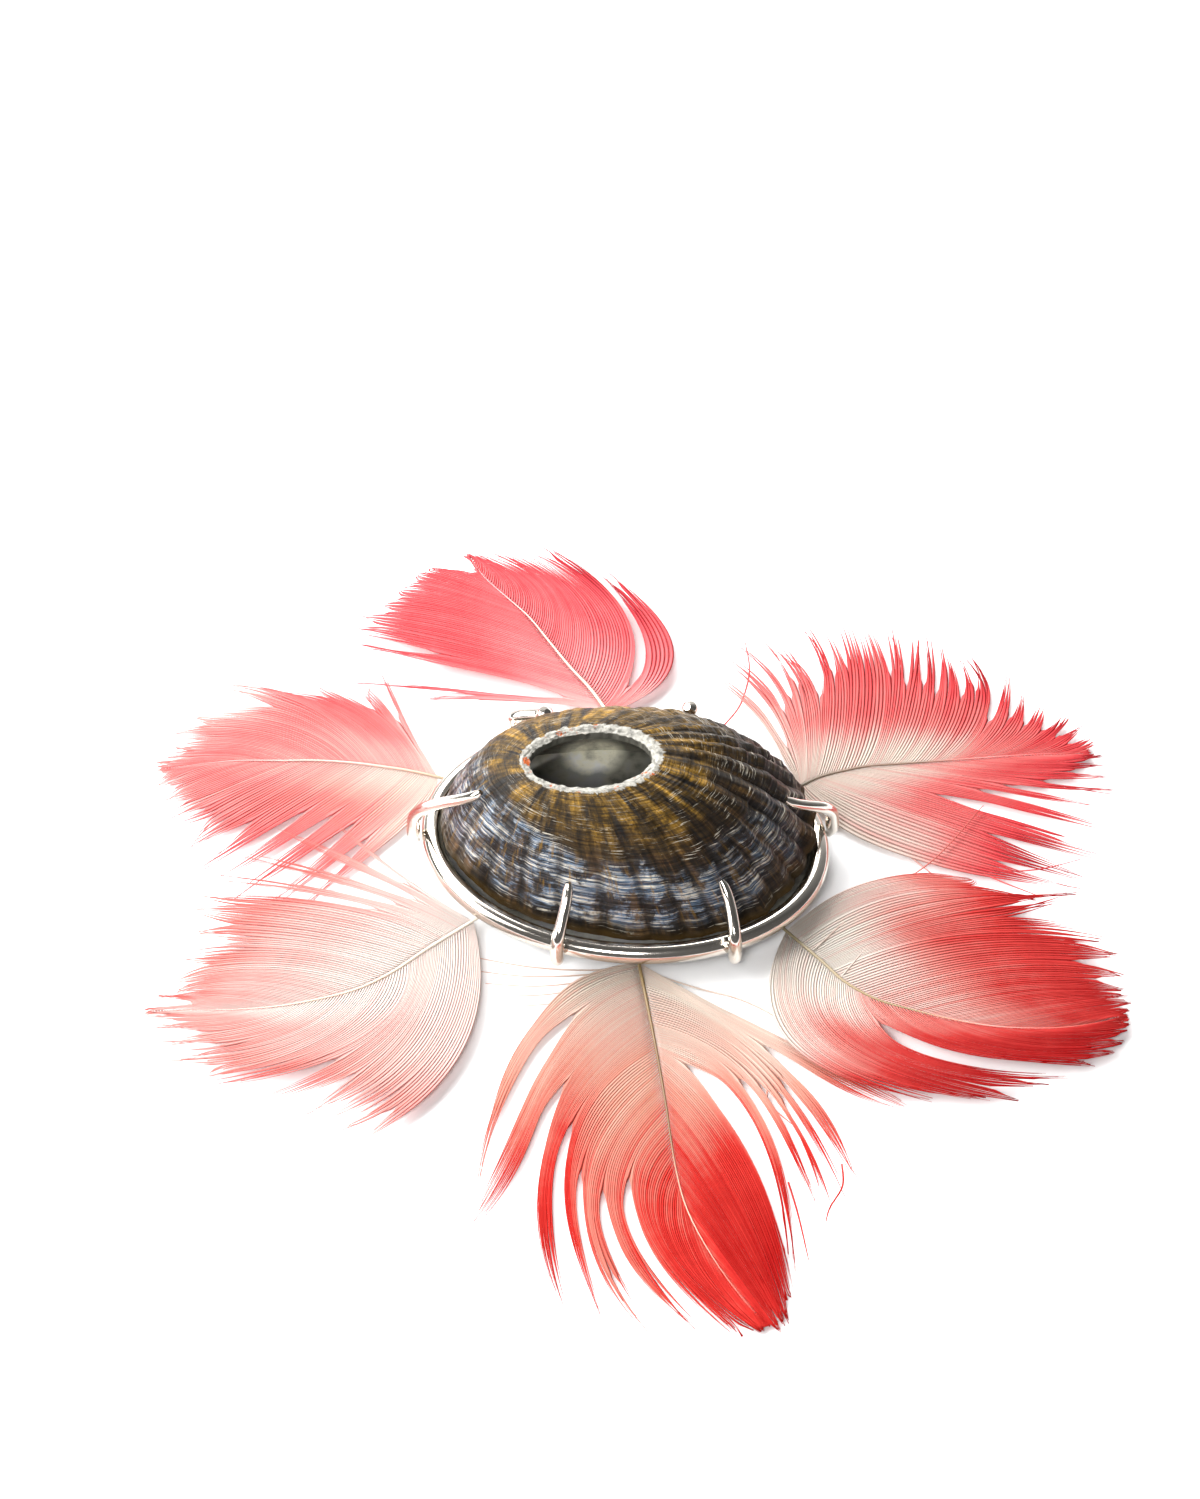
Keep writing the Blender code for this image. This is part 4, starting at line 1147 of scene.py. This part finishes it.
def vane_strands(feather, locks, shaft, level, settings, rng):
    """Lines, widths and redness of all barbs on one side of a feather."""
    vane = Vane(shaft, locks)
    roots = vane.roots(settings.spacing / MM)
    count = len(roots)
    line, v, joined = vane.lines(roots, rng)
    across = to_side(np.gradient(line, axis=1))
    room = np.abs(np.sum(np.diff(line, axis=0) * across[:-1, :, :2], axis=-1))
    room = np.where(room > 0.7, 0.0, room)
    room = np.maximum(np.concatenate([room, room[-1:]]), np.concatenate([room[:1], room]))
    half = 0.5 * settings.fill * np.clip(room, 0.09, 0.6)
    firm = (joined[:, None] > 0.75) * 1.0
    soft = FRAYING.get(feather, 0.1)
    taper = smooth_step((v / v[:, -1:] - 0.76 - 0.08 * firm + soft) / (0.25 + 0.8 * soft))
    taper = 1.0 - (0.85 - 0.15 * firm) * taper
    half = half * taper * (0.6 + 0.4 * smooth_step(v / 0.05))

    high = QUILL_Z + (level - QUILL_Z) * smooth_step(roots / 0.25)
    z = high[:, None] + (level - high)[:, None] * smooth_step(2.5 * v)
    camber = settings.camber / MM * (1.0 if level > 1.0 else 0.6)
    z = z + camber * np.sin(math.pi * np.minimum(v, 1.0)) + 0.12 * smooth_step(1 - v / 0.04)
    curl = np.abs(rng.normal(0.0, 0.08, count)) * (joined < 0.8)
    z = z + curl[:, None] * v ** 5 + 0.03 * rng.random((count, 1))
    tones = vane.at("tone", roots)
    first, middle, last = (tones[:, None, i] for i in range(3))
    tone = np.where(v < 0.48, first + (middle - first) * smooth_step((v / 0.48) ** 1.5),
                    middle + (last - middle) * smooth_step((v - 0.48) / 0.42))
    tone = tone + rng.normal(0.0, 0.04, (count, 1))
    solid = np.concatenate([line, z[..., None]], axis=-1)
    return solid, across, half, v, tone


def feather_mesh(name, plan, settings, seed):
    """All barbs and the shaft of a feather in one mesh, with what its material reads."""
    rng = np.random.default_rng(seed)
    shaft = np.array(plan["shaft"], float)
    level = UPPER_LEVEL if plan["upper"] else LOWER_LEVEL
    thickness = settings.thickness / MM
    pattern = strand_pattern(BARB_SIDES, BARB_STATIONS)
    parts = []
    for locks in plan["sides"]:
        solid, across, half, v, tone = vane_strands(name, locks, shaft, level, settings, rng)
        thick = np.full(half.shape, thickness) * (0.5 + 0.5 * half / max(half.max(), 1e-6))
        laid = lay_strands(pattern, solid, across, half, thick)
        parts.append((laid, v, tone, 0))
    for points, redness in plan["strays"]:
        v = np.linspace(0.0, 1.0, BARB_STATIONS)[None, :]
        line = through_points(points, v)
        z = np.full(v.shape + (1,), level + 0.15)
        half = 0.11 * (1.0 - 0.6 * v ** 3)
        tone = np.interp(v, (0.0, 0.5, 1.0), [int(c) / 9 for c in redness])
        laid = lay_strands(pattern, np.concatenate([line, z], axis=-1),
                           to_side(np.gradient(line, axis=1)), half,
                           np.full(v.shape, thickness))
        parts.append((laid, v, tone, 0))
    round_pattern = strand_pattern(SHAFT_SIDES, SHAFT_STATIONS)
    t = np.linspace(-1.0, 0.99, SHAFT_STATIONS)[None, :]
    middle = through_points(shaft, t)
    radius = settings.quill / MM * (1.0 - 0.75 * smooth_step(t) ** 0.8)
    high = QUILL_Z + (level - QUILL_Z) * smooth_step(t / 0.25)
    centre = np.concatenate([middle, (high - 0.5 * radius + 0.1)[..., None]], axis=-1)
    across = to_side(np.gradient(centre, axis=1))
    laid = lay_strands(round_pattern, centre, across, radius, 1.7 * radius)
    parts.append((laid, np.clip(t, 0.0, 1.0), np.zeros(t.shape), 1))
    return build_strand_mesh(name, parts)


def build_strand_mesh(name, parts):
    """One mesh of all laid strands, with the measures that the materials read."""
    points, loops, sizes, reach, along, tone, index = [], [], [], [], [], [], []
    total = 0
    for (co, loop, size, side, station), v, redness, slot in parts:
        points.append(co)
        loops.append(loop + total)
        sizes.append(size)
        reach.append(side)
        along.append(v[:, station].ravel())
        tone.append(redness[:, station].ravel())
        index.append(np.full(len(size), slot))
        total += len(co)
    points, loops, sizes = (np.concatenate(x) for x in (points, loops, sizes))
    mesh = bpy.data.meshes.new(name)
    mesh.vertices.add(len(points))
    mesh.vertices.foreach_set("co", (points * MM).astype(np.float32).ravel())
    mesh.loops.add(len(loops))
    mesh.loops.foreach_set("vertex_index", loops.astype(np.int32))
    mesh.polygons.add(len(sizes))
    mesh.polygons.foreach_set("loop_start", np.concatenate([[0], np.cumsum(sizes)[:-1]])
                              .astype(np.int32))
    mesh.polygons.foreach_set("material_index", np.concatenate(index).astype(np.int32))
    mesh.update(calc_edges=True)
    for key, values in (("across", reach), ("along", along), ("tone", tone)):
        set_attribute(mesh, key, np.concatenate(values))
    mesh.validate()
    mesh.shade_smooth()
    return mesh


class LIMPET_OT_feathers(bpy.types.Operator):
    """Model the six feathers, each with its shaft and all its barbs"""
    bl_idname = "limpet.feathers"
    bl_label = "Make the feathers"

    def execute(self, context):
        settings = context.scene.limpet_feathers
        for seed, (name, plan) in enumerate(FEATHERS.items()):
            mesh = feather_mesh(name, plan, settings, 700 + seed)
            feather = bpy.data.objects.new(name, mesh)
            context.scene.collection.objects.link(feather)
            mesh.materials.append(vane_material(name, settings))
            mesh.materials.append(shaft_material(name, settings))
            finish_piece(feather, f"{name}_feather",
                         [f"feather_{name}"], smooth=None)
        return {"FINISHED"}


def feather_colours(name, settings):
    return [tuple(getattr(settings, f"{name}_{step}")) for step in TONES]


def vane_material(name, settings):
    """Barbs: redness along each barb, a darker line along both its sides, light through it."""
    material, tree, shader = new_material(f"{name}_barbs")
    pale, pink, red, deep, _, _ = feather_colours(name, settings)
    marks = wear(tree, 380.0, 1.0, 0.6, 0.2)
    uneven = times(tree, maths(tree, "SUBTRACT", marks["Mask"], 0.5), 0.28)
    tone = attribute(tree, "tone")
    redness = maths(tree, "ADD", tone, times(tree, uneven, tone))
    colour = ramp(tree, redness, (0.0, pale), (0.38, pink), (0.72, red), (1.0, deep))
    edge = maths(tree, "ABSOLUTE", attribute(tree, "across"))
    groove = 0.66 if name in CRISP_BARBS else 0.84
    colour = multiplied(tree, colour, ramp(tree, edge, (0.1, 1.0), (0.45, groove), (0.8, 0.95)))
    dress(tree, shader, colour, marks)
    shader.inputs["Specular IOR Level"].default_value = 0.12
    through = node(tree, "BsdfTranslucent", {"Color": colour})
    blend = node(tree, "MixShader", {0: 0.38, 1: shader.outputs[0], 2: through.outputs[0]})
    tree.links.new(blend.outputs[0], tree.nodes["Material Output"].inputs["Surface"])
    return material


def shaft_material(name, settings):
    material, tree, shader = new_material(f"{name}_shaft")
    _, pink, red, _, quill, rachis = feather_colours(name, settings)
    colour = ramp(tree, attribute(tree, "along"), (0.0, quill), (0.3, rachis), (0.5, rachis),
                  (0.72, pink), (0.95, red))
    marks = wear(tree, 900.0, 1.0, 0.35, 0.2)
    dress(tree, shader, mix(tree, times(tree, marks["Mask"], 0.2), colour, rachis), marks)
    return material


# Stage

class LIMPET_OT_stage(bpy.types.Operator):
    """Lay the pale floor, set the softboxes and aim the camera"""
    bl_idname = "limpet.stage"
    bl_label = "Set the stage"

    def execute(self, context):
        settings = context.scene.limpet_stage
        start_piece()
        lay_floor(settings)
        softbox("back_softbox", (-0.3, 0.38, 0.5), (1.3, 0.42), settings.key)
        softbox("left_softbox", (-0.5, -0.12, 0.34), (0.3, 0.5), 1.1 * settings.fill)
        softbox("front_softbox", (-0.1, -0.43, 0.54), (0.16, 0.16), 0.65 * settings.fill)
        light_studio(context.scene)
        aim_camera(context.scene, settings.lens)
        return {"FINISHED"}


def lay_floor(settings):
    bpy.ops.mesh.primitive_grid_add(x_subdivisions=8, y_subdivisions=8, size=settings.floor,
                                    location=(0.0, 0.0, -0.0001))
    floor = bpy.context.object
    floor.name = "floor"
    material, tree, shader = new_material("paper_floor")
    marks = wear(tree, 60.0, 1.0, 0.85, 0.1)
    paper = tuple(settings.paper)
    dress(tree, shader, mix(tree, marks["Mask"], shade(paper, 0.98), paper), marks)
    shader.inputs["Specular IOR Level"].default_value = 0.1
    shader.inputs["Emission Color"].default_value = (*paper, 1.0)
    shader.inputs["Emission Strength"].default_value = 0.05
    floor.data.materials.append(material)


def light_studio(scene):
    """A soft surround, bright behind the object and dim in front, for the silver to mirror."""
    scene.world = bpy.data.worlds.new("studio")
    scene.world.use_nodes = True
    sky = scene.world.node_tree
    around = node(sky, "TexCoord").outputs["Generated"]
    depth = node(sky, "SeparateXYZ", {0: around}).outputs["Y"]
    depth = maths(sky, "ADD", times(sky, depth, 0.5), 0.5)
    glow = ramp(sky, depth, (0.0, 0.2), (0.5, 0.12), (0.78, 0.35), (0.88, 1.0))
    background = sky.nodes["Background"]
    sky.links.new(glow, background.inputs["Color"])
    background.inputs["Strength"].default_value = 0.8


def aim_camera(scene, lens):
    """The photograph's view: from the front, looking down at 50 degrees."""
    bpy.ops.object.camera_add(location=CAMERA_PLACE, rotation=(CAMERA_TILT, 0.0, 0.0))
    camera = bpy.context.object
    camera.name = "camera"
    camera.data.sensor_fit = "VERTICAL"
    camera.data.sensor_height = 36.0
    camera.data.lens = lens
    camera.data.clip_start = 0.01
    scene.camera = camera
    scene.view_settings.view_transform = "Standard"


def softbox(name, place, size, power):
    """A rectangular light that looks at the middle of the object."""
    start_piece()
    bpy.ops.object.light_add(type="AREA", location=place)
    light = bpy.context.object
    light.name = name
    light.data.shape = "RECTANGLE"
    light.data.size, light.data.size_y = size
    light.data.energy = power
    light.rotation_euler = (Vector((0.0, 0.0, 0.005)) - Vector(place)).to_track_quat(
        "-Z", "Y").to_euler()


class LIMPET_PT_workbench(bpy.types.Panel):
    """The sizes and colours of the object, and a button for each piece"""
    bl_idname = "LIMPET_PT_workbench"
    bl_label = "Limpet shell"
    bl_space_type = "VIEW_3D"
    bl_region_type = "UI"
    bl_category = "Limpet"

    def draw(self, context):
        for key, (group, operator) in PIECES.items():
            box = self.layout.box()
            for name in group.__annotations__:
                box.prop(getattr(context.scene, key), name)
            box.operator(operator.bl_idname)


PIECES = {
    "limpet_shell": (ShellSettings, LIMPET_OT_shell),
    "limpet_setting": (SettingSettings, LIMPET_OT_setting),
    "limpet_backing": (BackingSettings, LIMPET_OT_backing),
    "limpet_feathers": (FeatherSettings, LIMPET_OT_feathers),
    "limpet_stage": (StageSettings, LIMPET_OT_stage),
}


def register():
    for key, (group, operator) in PIECES.items():
        bpy.utils.register_class(group)
        bpy.utils.register_class(operator)
        setattr(bpy.types.Scene, key, bpy.props.PointerProperty(type=group))
    bpy.utils.register_class(LIMPET_PT_workbench)


def unregister():
    bpy.utils.unregister_class(LIMPET_PT_workbench)
    for key, (group, operator) in reversed(PIECES.items()):
        delattr(bpy.types.Scene, key)
        bpy.utils.unregister_class(operator)
        bpy.utils.unregister_class(group)


def main():
    register()
    bpy.ops.limpet.shell()
    bpy.ops.limpet.setting()
    bpy.ops.limpet.backing()
    bpy.ops.limpet.feathers()
    bpy.ops.limpet.stage()
    start_piece()


if __name__ == "__main__":
    main()
